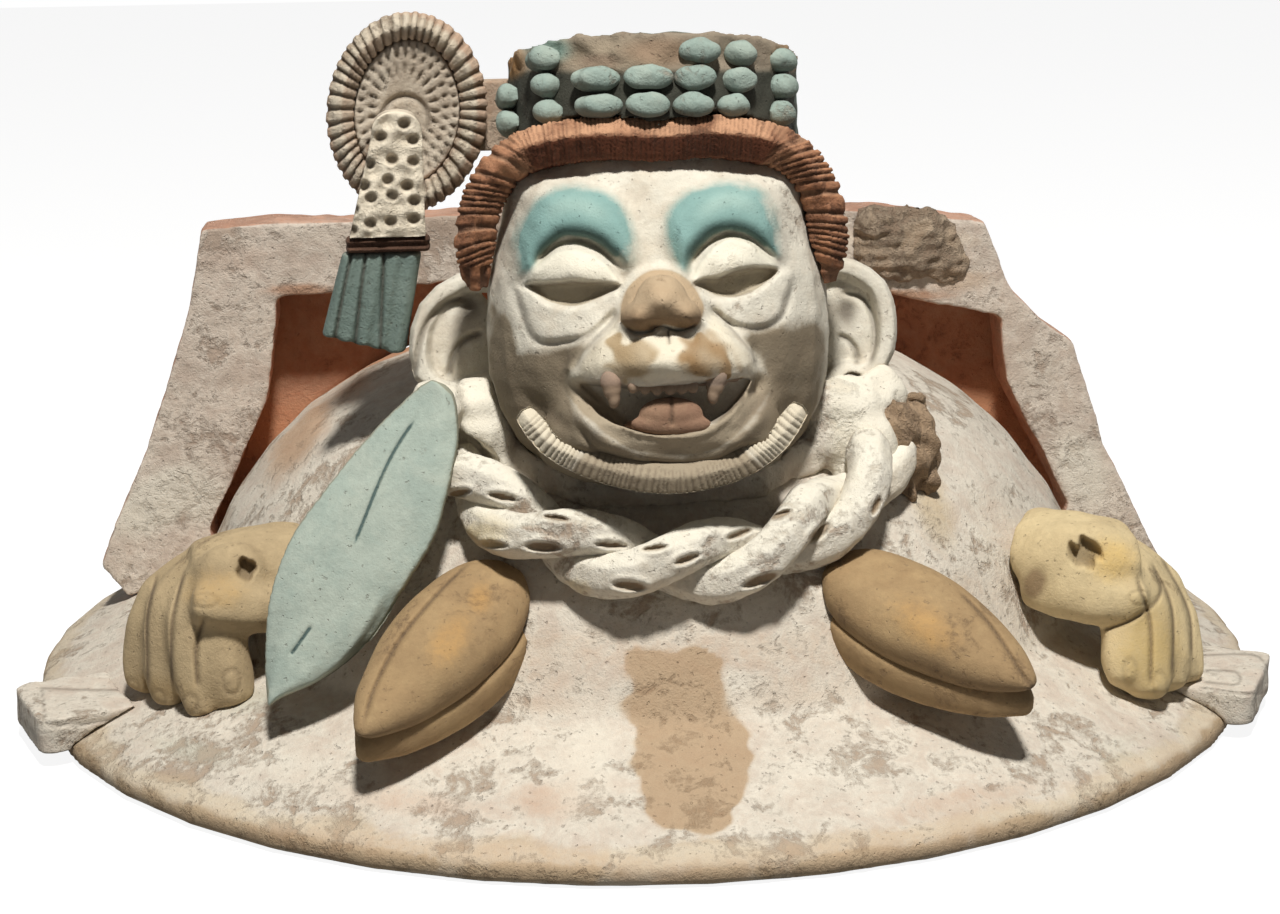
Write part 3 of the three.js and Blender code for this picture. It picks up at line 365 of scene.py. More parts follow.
def lump(place, radii_mm):
    """A ball of clay, squashed along the picture's own directions."""
    bpy.ops.mesh.primitive_uv_sphere_add(segments=32, ring_count=16, radius=1, location=(0, 0, 0))
    ball = bpy.context.view_layer.objects.active
    squared_up = Matrix((across, -look, upward)).transposed().to_4x4()
    sized = Matrix.Diagonal((*(r / 1000 for r in radii_mm), 1))
    ball.data.transform(Matrix.Translation(Vector(place)) @ squared_up @ sized)
    return ball


def lumps(rows):
    """Balls of clay, each from its place in the picture, its y and its half sizes in millimetres."""
    return [lump(from_picture(place, y_mm), size) for place, y_mm, size in rows]


def balls_of_clay(name, balls, voxel, smooth):
    """Balls of clay pressed into one piece."""
    bpy.ops.object.select_all(action="DESELECT")
    for ball in balls:
        ball.select_set(True)
    bpy.context.view_layer.objects.active = balls[0]
    bpy.ops.object.join()
    piece = bpy.context.view_layer.objects.active
    piece.name = name
    piece.data.name = name
    return remeshed(piece, voxel, smooth)


class Clay:
    """A dense piece being worked: its points, the way they face, and where they fall in the photograph."""

    def __init__(self, piece):
        self.piece = piece
        mesh = piece.data
        self.count = len(mesh.vertices)
        self.places = np.empty(self.count * 3, np.float64)
        mesh.vertices.foreach_get("co", self.places)
        self.places = self.places.reshape(-1, 3)
        self.paint = np.zeros((self.count, 4))
        self.dirt_and_shade = np.zeros(self.count)
        self.look_again()

    def look_again(self):
        mesh = self.piece.data
        mesh.vertices.foreach_set("co", self.places.ravel())
        mesh.update()
        out = np.empty(self.count * 3, np.float64)
        mesh.vertices.foreach_get("normal", out)
        self.out = out.reshape(-1, 3)
        self.seen = in_picture(self.places)
        to_eye = np.array(eye) - self.places
        to_eye /= np.linalg.norm(to_eye, axis=1)[:, None]
        self.facing = smooth_step((self.out * to_eye).sum(1), -0.1, 0.25)

    def push(self, amount, along=None):
        """Moves points by an amount in millimetres, outwards or along a given direction."""
        direction = self.out if along is None else np.array(along) / np.linalg.norm(along)
        self.places = self.places + direction * (amount / 1000)[:, None]

    def slide(self, right_px, down_px=0.0):
        """Moves points parallel to the picture by amounts in its pixels."""
        depth = (self.places - np.array(eye)) @ np.array(look)
        step = np.multiply.outer(right_px, np.array(across))
        step = step - np.multiply.outer(down_px, np.array(upward))
        self.places = self.places + step * (depth / LENS_PX)[:, None]

    def lift(self, amount):
        """Moves points towards the camera by millimetres, so that they stay put in the picture."""
        toward = np.array(eye) - self.places
        toward /= np.linalg.norm(toward, axis=1)[:, None]
        self.places = self.places + toward * (amount / 1000)[:, None]

    def brush(self, mask, colour, strength=1.0):
        """Lays a colour over what is there. On bare clay it stays pure, and only its cover fades."""
        cover = np.clip(mask * strength, 0, 1)[:, None]
        under = self.paint[:, 3:] * (1 - cover)
        mixed = self.paint[:, :3] * under + np.array(colour) * cover
        mixed = mixed / np.maximum(under + cover, 1e-6)
        self.paint[:, :3] = np.where(under + cover > 1e-6, mixed, self.paint[:, :3])
        self.paint[:, 3:] = np.maximum(self.paint[:, 3:], cover)

    def brush_patches(self, patches, soft=0.7, mask=None):
        """Brushes ovals, each with its middle, half sizes, slant, colour and strength."""
        mask = self.facing if mask is None else mask
        for place, size, slant, colour, strength in patches:
            self.brush(spot(self.seen, place, size, slant, soft) * mask, colour, strength)

    # Darkens points with dirt and with painted shade, in hollows, grooves and undersides
    def soil_and_shade(self, mask, strength=1.0):
        self.dirt_and_shade = np.maximum(self.dirt_and_shade, np.clip(mask * strength, 0, 1))

    def carve_lines(self, lines, depth, width, ends=0.12, mask=None):
        mask = self.facing if mask is None else mask
        for line in lines:
            self.lift(-depth * stroke(self.seen, line, width, ends) * mask)

    # Darkens along drawn lines with dirt and painted shade, as in grooves
    def soil_and_shade_lines(self, lines, width, strength, ends=0.12, mask=None):
        mask = self.facing if mask is None else mask
        for line in lines:
            self.soil_and_shade(stroke(self.seen, line, width, ends) * mask, strength)

    def finish(self, material, *nodes):
        self.look_again()
        mesh = self.piece.data
        paint = self.paint.copy()
        bare = paint[:, 3] < 0.01
        if (~bare).any():
            paint[bare, :3] = paint[~bare, :3].mean(0)
        colour = mesh.attributes.new("paint", "FLOAT_COLOR", "POINT")
        colour.data.foreach_set("color", paint.ravel())
        dirt_and_shade = mesh.attributes.new("dirt_and_shade", "FLOAT", "POINT")
        dirt_and_shade.data.foreach_set("value", self.dirt_and_shade)
        dress(self.piece, material, *nodes)


def dress(piece, material, *nodes):
    only(piece)
    bpy.ops.object.shade_smooth()
    piece.data.materials.clear()
    piece.data.materials.append(MATERIALS[material])
    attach(piece, "root")
    if nodes:
        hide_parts(*nodes)


def smooth_step(value, low, high):
    t = np.clip((value - low) / (high - low), 0, 1)
    return t * t * (3 - 2 * t)


def in_oval(points, centre, radii, slant):
    """Places across and down an oval, 1 at its edge."""
    c, s = math.cos(math.radians(slant)), math.sin(math.radians(slant))
    d = points - np.array(centre)
    return (d[:, 0] * c + d[:, 1] * s) / radii[0], (-d[:, 0] * s + d[:, 1] * c) / radii[1]


def spot(points, centre, radii, slant=0.0, soft=0.5):
    """1 inside an oval, falling to 0 over its soft edge."""
    return 1 - smooth_step(np.hypot(*in_oval(points, centre, radii, slant)), 1 - soft, 1 + soft)


def dome(points, centre, radii, slant=0.0):
    """A rounded bump of height 1 over an oval."""
    a, b = in_oval(points, centre, radii, slant)
    return np.exp(-1.6 * (a * a + b * b))


def lowered(line, down_px):
    """A drawn line moved down the picture."""
    return np.array(line) + (0, down_px)


def along_line(points, line):
    """Each point's distance from a drawn line, its signed side and how far along it lies, 0 to 1."""
    line = np.array(line, float)
    lengths = np.linalg.norm(np.diff(line, axis=0), axis=1)
    total = lengths.sum()
    best = np.full(len(points), 1e9)
    sided = np.zeros(len(points))
    travelled = np.zeros(len(points))
    start = 0.0
    for a, b, length in zip(line[:-1], line[1:], lengths):
        step = (b - a) / length
        d = points - a
        t = np.clip(d @ step, 0, length)
        off = d - t[:, None] * step
        distance = np.linalg.norm(off, axis=1)
        nearer = distance < best
        best = np.where(nearer, distance, best)
        sided = np.where(nearer, step[0] * d[:, 1] - step[1] * d[:, 0], sided)
        travelled = np.where(nearer, (start + t) / total, travelled)
        start += length
    return best, sided, travelled


def curved(line, steps=6):
    """A drawn line rounded through its points."""
    line = np.array(line, float)
    padded = np.vstack([2 * line[0] - line[1], line, 2 * line[-1] - line[-2]])
    result = []
    for i in range(1, len(padded) - 2):
        p0, p1, p2, p3 = padded[i - 1:i + 3]
        for step in range(steps):
            t = step / steps
            result.append(0.5 * (2 * p1 + (p2 - p0) * t + (2 * p0 - 5 * p1 + 4 * p2 - p3) * t * t
                                 + (3 * p1 - p0 - 3 * p2 + p3) * t ** 3))
    result.append(line[-1])
    return np.array(result)


def stroke(points, line, width, ends=0.12):
    """1 on a drawn line, falling to 0 at half its width, and fading at its ends."""
    distance, _, travelled = along_line(points, curved(line))
    fade = 1.0 if ends == 0 else smooth_step(np.minimum(travelled, 1 - travelled), -0.02, ends)
    return np.exp(-2.5 * (distance / (width / 2)) ** 2) * fade


def ripple(places, size, seed):
    """Gentle hand-made unevenness, about -1 to 1, with waves of the given size in metres."""
    rng = np.random.default_rng(seed)
    total = np.zeros(len(places))
    for _ in range(7):
        way = rng.normal(size=3)
        way *= 2 * math.pi / (size * np.linalg.norm(way)) * rng.uniform(0.7, 1.6)
        total += np.sin(places @ way + rng.uniform(0, 6.3))
    return total / 3.5


def region(points, outline, soft=6.0):
    """1 inside a drawn outline, falling to 0 over a soft edge."""
    outline = np.array(outline, float)
    closed = curved(np.vstack([outline, outline[:1]]), 4)
    inside = np.zeros(len(points), bool)
    for a, b in zip(closed[:-1], closed[1:]):
        crosses = (a[1] > points[:, 1]) != (b[1] > points[:, 1])
        drop = b[1] - a[1] if b[1] != a[1] else 1e-9
        at = a[0] + (points[:, 1] - a[1]) * (b[0] - a[0]) / drop
        inside ^= crosses & (points[:, 0] < at)
    distance, _, _ = along_line(points, closed)
    return smooth_step(np.where(inside, distance, -distance), -soft, soft)


# LID: the flared brim with the bell, and the chimney

BRIM_RADIUS = cad_box[1][1]
LIP_TAN = (0.58, 0.50, 0.39)
LIP_BROWN = (0.36, 0.27, 0.18)
BARE_BROWN = (0.42, 0.315, 0.22)
PINKISH = (0.52, 0.39, 0.31)
CHALK = (0.72, 0.68, 0.60)
GREENISH = (0.46, 0.47, 0.40)
FRONT_BARE = [
    (632, 652), (624, 690), (618, 702), (628, 718), (634, 750), (640, 790), (652, 820), (688, 834),
    (722, 828),
    (740, 800), (750, 765), (750, 735), (728, 705), (722, 672), (712, 652),
]
BRIM_PATCHES = [
    ((250, 700), (50, 16), -8, GREENISH, 0.5),
    ((190, 750), (60, 16), 14, GREENISH, 0.45),
    ((560, 800), (60, 24), 0, PINKISH, 0.6),
    ((560, 680), (50, 26), 0, PINKISH, 0.45),
    ((790, 690), (52, 24), 0, (0.53, 0.43, 0.35), 0.5),
    ((960, 800), (110, 16), -12, PINKISH, 0.5),
    ((1120, 745), (50, 14), -20, GREENISH, 0.4),
    ((930, 500), (22, 60), -20, (0.50, 0.41, 0.29), 0.6),
    ((1000, 610), (30, 60), -30, (0.56, 0.50, 0.42), 0.4),
    ((400, 800), (110, 18), 9, PINKISH, 0.5),
    ((470, 850), (180, 12), 5, (0.50, 0.37, 0.26), 0.5),
    ((850, 850), (160, 12), -7, (0.50, 0.38, 0.27), 0.5),
    ((520, 620), (40, 60), 10, (0.50, 0.42, 0.34), 0.35),
    ((590, 760), (36, 60), 0, CHALK, 0.6),
    ((830, 770), (60, 22), -4, CHALK, 0.5),
    ((300, 770), (60, 22), 14, CHALK, 0.55),
    ((300, 430), (26, 70), 32, (0.46, 0.33, 0.24), 0.7),
    ((345, 380), (40, 26), -30, (0.50, 0.31, 0.21), 0.6),
    ((1042, 474), (12, 50), -33, (0.52, 0.32, 0.22), 0.5),
]


# Radii of the brim's marks: in metres for its worked part, in millimetres for the rest
WORKED_BRIM = (0.212, 0.206)
RIDGE_MM = 159
WIPED_MM = 152
TURNED_LINE_MM = 206
LIP_MM = (200, 209)
UNDER_LIP_MM = (211.5, 214)
RIDGE_WHITE = (0.78, 0.74, 0.66)
WIPED_BROWN = (0.50, 0.38, 0.29)
PANEL_RED = (0.50, 0.27, 0.17)


def model_lid():
    nodes = ("lid_brim", "lid_bell")
    work = Clay(dense_copy("clay_lid", nodes, 0.00205, 2, swell=0.22))
    radius = np.hypot(work.places[:, 0], work.places[:, 1])
    radius_mm = radius * 1000
    inner = smooth_step(radius, *WORKED_BRIM)
    top = smooth_step(work.out[:, 2], 0.0, 0.4)
    hand = ripple(work.places, 0.075, 11) + 0.5 * ripple(work.places, 0.022, 12)
    above_seat = smooth_step(work.places[:, 2], 0.001, 0.004)
    work.push(0.45 * top * inner * (hand - 0.5) * above_seat)
    ridge = np.exp(-((radius_mm - RIDGE_MM) / 2.4) ** 2) * top
    work.push(0.5 * ridge)
    work.look_again()
    beyond = np.minimum(BRIM_RADIUS / np.maximum(radius, 1e-6), 1)
    work.places[:, :2] *= beyond[:, None]
    work.places[:, 2] = np.maximum(work.places[:, 2], 0)
    uneven = 2.2 * ripple(work.places, 0.05, 5) + 1.6 * ripple(work.places, 0.014, 6)
    work.brush(smooth_step(radius_mm + uneven, *LIP_MM), LIP_TAN, 0.6)
    work.brush(smooth_step(radius_mm + 0.4 * uneven, *UNDER_LIP_MM), LIP_BROWN, 0.8)
    turned = np.exp(-((radius_mm - TURNED_LINE_MM + 0.3 * uneven) / 0.9) ** 2) * top
    work.brush(turned, LIP_BROWN, 0.45)
    work.brush(ridge, RIDGE_WHITE, 0.6)
    wiped = np.exp(-((radius_mm - WIPED_MM + uneven) / 5.0) ** 2) * top
    work.brush(wiped, WIPED_BROWN, 0.45)
    work.brush_patches(BRIM_PATCHES)
    edge = 6 * ripple(work.places, 0.012, 7)
    work.brush(region(work.seen + edge[:, None], FRONT_BARE, 8) * work.facing, BARE_BROWN)
    near_panel = smooth_step(work.places[:, 1], 0.012, 0.026) * smooth_step(work.places[:, 2], 0.02, 0.04)
    work.brush(near_panel, PANEL_RED, 0.7)
    work.finish("lid_slip", *nodes)


def model_chimney():
    work = Clay(dense_copy("clay_chimney", ["chimney_tube"], 0.0013, 2))
    work.push(0.3 * (ripple(work.places, 0.03, 31) - 1.5))
    work.finish("bare_clay", "chimney_tube")


# BACK PANEL: a framed recess

PANEL_PATCHES = [
    ((230, 260), (50, 20), -10, (0.50, 0.40, 0.34), 0.5),
    ((330, 235), (60, 12), 0, (0.62, 0.55, 0.48), 0.5),
    ((160, 500), (60, 30), -30, CHALK, 0.8),
    ((205, 500), (30, 30), 0, CHALK, 0.7),
    ((1080, 470), (30, 50), -20, CHALK, 0.7),
    ((1040, 370), (30, 40), 0, (0.62, 0.57, 0.50), 0.5),
    ((905, 240), (70, 14), 0, (0.85, 0.72, 0.58), 0.7),
    ((960, 280), (40, 14), 0, (0.62, 0.50, 0.40), 0.6),
    ((300, 290), (40, 8), 0, (0.45, 0.29, 0.21), 0.7),
    ((900, 295), (60, 7), 0, (0.45, 0.29, 0.21), 0.7),
]


def model_panel():
    nodes = ("frame_beam", "frame_leg_left", "frame_leg_right")
    work = Clay(dense_copy("clay_frame", nodes, 0.0013, 6, swell=0.3))
    work.push(0.35 * (ripple(work.places, 0.03, 41) - 0.9) + 0.2 * ripple(work.places, 0.009, 42))
    work.look_again()
    work.brush_patches(PANEL_PATCHES)
    edge = 1 - smooth_step(np.abs(work.out[:, 1]), 0.55, 0.9)
    work.brush(edge, (0.50, 0.27, 0.19), 0.6)
    work.finish("panel_slip", *nodes)
    work = Clay(dense_copy("clay_recess", ["back_wall"], 0.0014, 2))
    work.push(0.3 * (ripple(work.places, 0.03, 45) - 1.0))
    work.look_again()
    # Painted light: the recess is brushed lighter towards the bottom, below the beam's shadow
    low = smooth_step(work.places[:, 2], 0.11, 0.07)
    work.brush(low, (0.56, 0.33, 0.21), 0.7)
    work.finish("recess_red", "back_wall")


# HEAD, sculpted by where its features fall in the photograph (all outlines in its pixels)

BROW_BLUE = (0.20, 0.35, 0.35)
# A painted highlight for the brows' crests, then painted shade for their lower edges
BROW_CREST_HIGHLIGHT = (0.42, 0.60, 0.56)
BROW_SHADE_TEAL = (0.055, 0.105, 0.105)
LID_WHITE = (0.78, 0.74, 0.63)
SHADOW_TAUPE = (0.33, 0.28, 0.20)
NOSE_TAN = (0.45, 0.34, 0.235)
NOSE_SHADE_BROWN = (0.15, 0.095, 0.055)
OCHRE_STAIN = (0.34, 0.25, 0.15)
ORANGE_STAIN = (0.30, 0.195, 0.105)
FACE_FEATURES = [
    (500, 300), (505, 235), (540, 185), (600, 178), (652, 190), (700, 175), (760, 178), (795, 225),
    (800, 290),
    (790, 335), (745, 340), (710, 322), (694, 345), (625, 345), (600, 330), (560, 350), (515, 345),
]
BROW_LEFT = [
    (520, 272), (514, 247), (522, 222), (538, 200), (563, 189), (597, 190), (619, 205), (633, 234),
    (634, 251),
    (628, 266), (614, 258), (597, 244), (576, 237), (557, 241), (542, 256), (533, 271),
]
BROW_RIGHT = [
    (778, 254), (776, 222), (766, 196), (744, 185), (711, 186), (685, 196), (670, 213), (667, 234),
    (674, 256),
    (684, 271), (692, 258), (706, 241), (728, 232), (749, 237), (766, 249),
]
HOLLOW_LEFT = [(533, 274), (542, 258), (557, 243), (576, 239), (597, 246), (614, 260), (626, 272)]
HOLLOW_RIGHT = [(685, 275), (693, 260), (707, 243), (728, 234), (749, 239), (766, 252), (776, 262)]
LID_LEFT = [(524, 284), (534, 268), (551, 254), (571, 249), (592, 254), (609, 268), (619, 287), (578, 282)]
LID_RIGHT = [
    (691, 284), (700, 264), (715, 246), (734, 237), (755, 243), (769, 256), (778, 270), (757, 268),
    (723, 277),
]
SLIT_LEFT = [(527, 285), (550, 284), (578, 282), (609, 284), (619, 287), (592, 301), (569, 306), (546, 300)]
SLIT_RIGHT = [
    (693, 284), (706, 279), (723, 277), (740, 270), (757, 268), (778, 270), (757, 289), (734, 297),
    (715, 295),
]
POUCH_LEFT = [
    (517, 288), (531, 290), (546, 302), (569, 308), (592, 303), (616, 290), (614, 308), (592, 331),
    (571, 339),
    (538, 340), (524, 318),
]
POUCH_RIGHT = [
    (694, 290), (715, 297), (734, 299), (757, 291), (779, 273), (792, 277), (782, 312), (766, 326),
    (740, 325),
    (719, 314), (702, 300),
]
POUCH_EDGES = [
    [(517, 290), (524, 318), (538, 341), (571, 341), (592, 333), (614, 312)],
    [(702, 302), (719, 316), (740, 327), (766, 328), (783, 313), (793, 279)],
]
NOSE_TIP = ((662, 298), (34, 24))
NOSE_WINGS = [((633, 317), (15, 13)), ((692, 313), (15, 13))]
NOSE_OUTLINE = [
    (620, 322), (621, 302), (632, 282), (650, 271), (672, 270), (690, 281), (702, 300), (703, 316),
    (694, 328),
    (680, 328), (664, 324), (650, 331), (630, 331),
]
NOSE_UNDERSIDE = [
    (624, 323), (634, 332), (650, 332), (656, 327), (664, 326), (673, 330), (684, 330), (700, 322),
]
NOSTRILS = [((651, 327), (8, 5)), ((680, 326), (8, 5))]
NOSE_ROUNDED_ABOVE = (322, 312)
NOSE_SHADE = (300, 324)
LIP_NOTCH = [(668, 331), (669, 343)]
MUZZLE = [
    (620, 312), (605, 332), (586, 351), (573, 374), (573, 381), (597, 379), (618, 382), (647, 384),
    (664, 382),
    (690, 379), (715, 376), (740, 373), (759, 374), (749, 353), (732, 332), (709, 308), (700, 330),
    (630, 333),
]
MUZZLE_EDGES = [
    [(619, 310), (604, 330), (584, 350), (571, 374)],
    [(710, 306), (733, 331), (751, 353), (760, 370)],
]
UPPER_LIP = [
    (573, 381), (597, 380), (618, 383), (647, 385), (664, 383), (690, 380), (715, 377), (740, 374),
    (759, 376),
]
LOWER_LIP = [
    (575, 381), (597, 403), (618, 422), (639, 433), (668, 437), (694, 436), (715, 428), (740, 404),
    (758, 378),
]
LIP_RIM = [(576, 388), (600, 413), (622, 431), (645, 441), (690, 443), (722, 432), (746, 406), (761, 384)]
SMILE_FOLD = [
    (570, 385), (580, 413), (609, 443), (639, 457), (673, 462), (706, 460), (736, 445), (762, 412),
    (768, 380),
]
SMILE_CREASE = [(575, 425), (600, 452), (632, 465), (673, 470), (710, 468), (745, 448)]
CHEEK_HOLLOWS = [((550, 414), (34, 11), 36), ((757, 410), (28, 10), -50)]
MOUTH_CORNERS = [((560, 408), (34, 32)), ((768, 398), (28, 34))]
# Outline of the lower face and jaws, where shade is painted
SHADED_LOWER_FACE = [
    (488, 330), (505, 350), (540, 352), (592, 345), (570, 385), (590, 425), (640, 450), (700, 450),
    (748, 425),
    (768, 380), (745, 338), (790, 325), (824, 330), (816, 420), (775, 478), (700, 505), (600, 500),
    (525, 465),
    (496, 400),
]
SIDE_SHADE = [(488, 300), (508, 315), (520, 350), (522, 420), (500, 420), (486, 360)]
# The grey-brown of the painted shade on the lower face
FACE_SHADE_GREY = (0.19, 0.16, 0.12)
STAIN_LEFT = [(610, 342), (632, 336), (650, 345), (652, 372), (632, 380), (612, 374)]
STAIN_RIGHT = [(680, 338), (705, 332), (728, 346), (735, 372), (700, 376), (682, 366)]
CROWN_CORNERS = [((520, 178), (46, 40)), ((792, 178), (46, 40))]
MUZZLE_SWELL = ((667, 360), (70, 30))
EYE_SWELL = (34, 22)
EYE_DOWN = 2
BROW_CREST_UP = 34
BROW_SHADE_UP = 9
BEARD_HAIRS = 58
MUZZLE_WHITE = (0.74, 0.68, 0.56)
LIP_GREY = (0.36, 0.305, 0.235)
SLIT_GREY = (0.40, 0.355, 0.28)
BEARD_LINE = [(527, 418), (548, 440), (581, 461), (632, 480), (685, 487), (735, 471), (765, 446), (797, 408)]
HAIR_LINE = [
    (466, 268), (466, 235), (476, 200), (495, 165), (520, 142), (560, 134), (650, 134), (740, 132),
    (775, 138),
    (800, 165), (818, 200), (828, 235), (830, 272),
]


def soften(piece, mask, iterations):
    """Melts the shape together where the mask is 1."""
    group = piece.vertex_groups.new(name="melt")
    for quarter in range(1, 5):
        chosen = np.nonzero(np.round(mask * 4) == quarter)[0].tolist()
        if chosen:
            group.add(chosen, quarter / 4, "REPLACE")
    apply_modifier(piece, "SMOOTH", factor=0.5, iterations=iterations, vertex_group="melt")
    piece.vertex_groups.clear()


def model_face():
    nodes = ["head_skull", "brow_left", "brow_right", "eyelid_left", "eyelid_right", "nose"]
    piece = dense_copy("monkey_face", nodes[:1] + nodes[5:], 0.00066, 12)
    work = Clay(piece)
    features = region(work.seen, FACE_FEATURES, 10) * work.facing
    for corner, size in MOUTH_CORNERS:
        features = np.maximum(features, spot(work.seen, corner, size, 0, 0.4) * work.facing)
    features *= 1 - region(work.seen, LOWER_LIP, 5)
    soften(piece, features, 420)
    work = Clay(piece)
    seen, front = work.seen, work.facing
    relief = np.zeros(work.count)
    for brow in (BROW_LEFT, BROW_RIGHT):
        relief += 6.0 * region(seen, brow, 15)
    for hollow in (HOLLOW_LEFT, HOLLOW_RIGHT):
        relief -= 3.8 * stroke(seen, hollow, 14, 0.2)
    for lid, slit, pouch in ((LID_LEFT, SLIT_LEFT, POUCH_LEFT), (LID_RIGHT, SLIT_RIGHT, POUCH_RIGHT)):
        middle = np.array(lid).mean(0) + (0, EYE_DOWN)
        relief += 2.6 * region(seen, lid, 3.5) + 2.4 * region(seen, lid, 9) * dome(seen, middle, EYE_SWELL)
        relief -= 3.2 * region(seen, slit, 3)
        relief += 1.9 * region(seen, pouch, 5)
    for edge in POUCH_EDGES:
        relief -= 1.0 * stroke(seen, edge, 12)
    relief += 5.0 * region(seen, NOSE_OUTLINE, 10) + 3.4 * dome(seen, *NOSE_TIP)
    for wing in NOSE_WINGS:
        relief += 4.2 * dome(seen, *wing)
    relief += 7.0 * dome(seen, *MUZZLE_SWELL)
    relief -= 3.2 * stroke(seen, NOSE_UNDERSIDE, 8)
    for nostril in NOSTRILS:
        relief -= 2.4 * dome(seen, *nostril)
    relief += 1.6 * region(seen, MUZZLE, 6)
    for edge in MUZZLE_EDGES:
        relief -= 1.8 * stroke(seen, edge, 14)
    relief -= 1.4 * stroke(seen, LIP_NOTCH, 5, 0)
    relief += 0.9 * stroke(seen, UPPER_LIP, 7) + 1.2 * stroke(seen, LOWER_LIP, 9)
    relief += 1.8 * stroke(seen, SMILE_FOLD, 22)
    relief -= 1.8 * stroke(seen, SMILE_CREASE, 12)
    for hollow in CHEEK_HOLLOWS:
        relief -= 3.0 * dome(seen, *hollow)
    work.lift(relief * front)
    for corner in CROWN_CORNERS:
        work.push(6.0 * dome(work.seen, *corner))
    work.look_again()
    round_nose = region(work.seen, NOSE_OUTLINE, 8) * smooth_step(work.seen[:, 1], *NOSE_ROUNDED_ABOVE)
    soften(piece, round_nose * work.facing, 25)
    soften(piece, np.full(work.count, 1.0), 2)
    work = Clay(piece)
    seen = work.seen
    front = smooth_step(-work.places[:, 1], 0.078, 0.092)
    work.push(0.16 * ripple(work.places, 0.009, 62) + 0.2 * ripple(work.places, 0.02, 63))
    work.look_again()

    # Painted shade over the lower face, the jaws and the left side, with a lighter rim along the lower lip
    patchy = 1.0 + 0.15 * ripple(work.places, 0.012, 66)
    work.brush(region(seen, SHADED_LOWER_FACE, 18) * front, FACE_SHADE_GREY, 0.95 * patchy)
    work.brush(region(seen, SIDE_SHADE, 12) * front, FACE_SHADE_GREY, 0.8 * patchy)
    work.brush(stroke(seen, LIP_RIM, 46, 0) * front, LIP_GREY, 1.1)
    work.soil_and_shade(region(seen, SHADED_LOWER_FACE, 18) * front * (1 - region(seen, MUZZLE, 10)), 0.12)
    work.brush(region(seen, MUZZLE, 10) * front, MUZZLE_WHITE, 0.7)
    for brow, hollow in ((BROW_LEFT, HOLLOW_LEFT), (BROW_RIGHT, HOLLOW_RIGHT)):
        rubbed = 1 - 0.25 * np.clip(ripple(work.places, 0.014, 67), 0, 1)
        work.brush(region(seen, brow, 21) * front, BROW_BLUE, 1.1 * rubbed)
        # Each brow: a painted highlight along its crest and painted shade along its lower edge
        lit_crest = lowered(hollow, -BROW_CREST_UP)[1:-1]
        work.brush(stroke(seen, lit_crest, 26, 0.4) * front, BROW_CREST_HIGHLIGHT, 0.5 * rubbed)
        work.brush(stroke(seen, lowered(hollow, -BROW_SHADE_UP), 25, 0.15) * front, BROW_SHADE_TEAL, 0.9)
        work.brush(stroke(seen, lowered(hollow, EYE_DOWN), 12, 0.2) * front, SHADOW_TAUPE, 0.6)
    for lid, slit in ((LID_LEFT, SLIT_LEFT), (LID_RIGHT, SLIT_RIGHT)):
        work.brush(region(seen, lid, 4) * front, LID_WHITE, 0.9)
        work.brush(region(seen, slit, 2.5) * front, SLIT_GREY)
        # Painted shade along the top of each eye opening, under the lid's overhang
        work.soil_and_shade(stroke(seen, slit[:5] if lid is LID_LEFT else slit[:6], 6, 0.05) * front, 0.7)
    work.brush(region(seen, NOSE_OUTLINE, 5) * front, NOSE_TAN)
    # Painted shade over the nose's lower part
    shade = region(seen, NOSE_OUTLINE, 4) * smooth_step(seen[:, 1], *NOSE_SHADE)
    work.brush(shade * front, NOSE_SHADE_BROWN, 0.85)
    blotch = 8.0 * ripple(work.places, 0.007, 68)[:, None]
    uneven = 0.85 + 0.2 * ripple(work.places, 0.011, 60)
    work.brush(region(seen + blotch, STAIN_LEFT, 6) * front, OCHRE_STAIN, uneven)
    work.brush(region(seen + blotch, STAIN_RIGHT, 6) * front, ORANGE_STAIN, uneven)
    # Painted shade in the face's creases and hollows, under the nose and under the lower lip
    for crease in (*POUCH_EDGES, *MUZZLE_EDGES, SMILE_CREASE):
        work.soil_and_shade(stroke(seen, crease, 7) * front, 0.35)
    work.soil_and_shade(stroke(seen, NOSE_UNDERSIDE, 6) * front, 0.8)
    work.soil_and_shade(stroke(seen, LIP_NOTCH, 4, 0) * front, 0.9)
    work.soil_and_shade(region(seen, LOWER_LIP, 2) * smooth_step(-work.out[:, 1], 0.75, 0.35), 0.6)
    for hollow in CHEEK_HOLLOWS:
        work.soil_and_shade(dome(seen, *hollow) * front, 0.4)
    work.finish("face_slip", *nodes)


TEETH_DEPTH = -156.5
INCISORS = [(633, 386), (645, 387), (657, 388), (670, 388), (682, 387), (693, 386)]
# Each fang is pressed from three balls of clay, each with its place and its half width and half height
FANGS = [
    ((611, 381), 3.3, 3.2), ((612, 389), 2.8, 3.2), ((614, 398), 1.9, 3.2),
    ((716, 377), 3.3, 3.2), ((715, 385), 2.8, 3.2), ((713, 394), 1.9, 3.2),
]
GUM_LINE = 377
FANG_SHADE = (380, 390)
FANG_SHADE_BROWN = (0.34, 0.27, 0.205)
# The tongue's tip as two balls of clay: place, distance in front of the axis (mm), half sizes (mm)
TONGUE_TIP = [((671, 414), -157, (9.5, 4.5, 5.0)), ((671, 424), -158, (12, 3.5, 3.5))]
TONGUE_SPLIT = [(671, 396), (672, 408), (672, 424)]


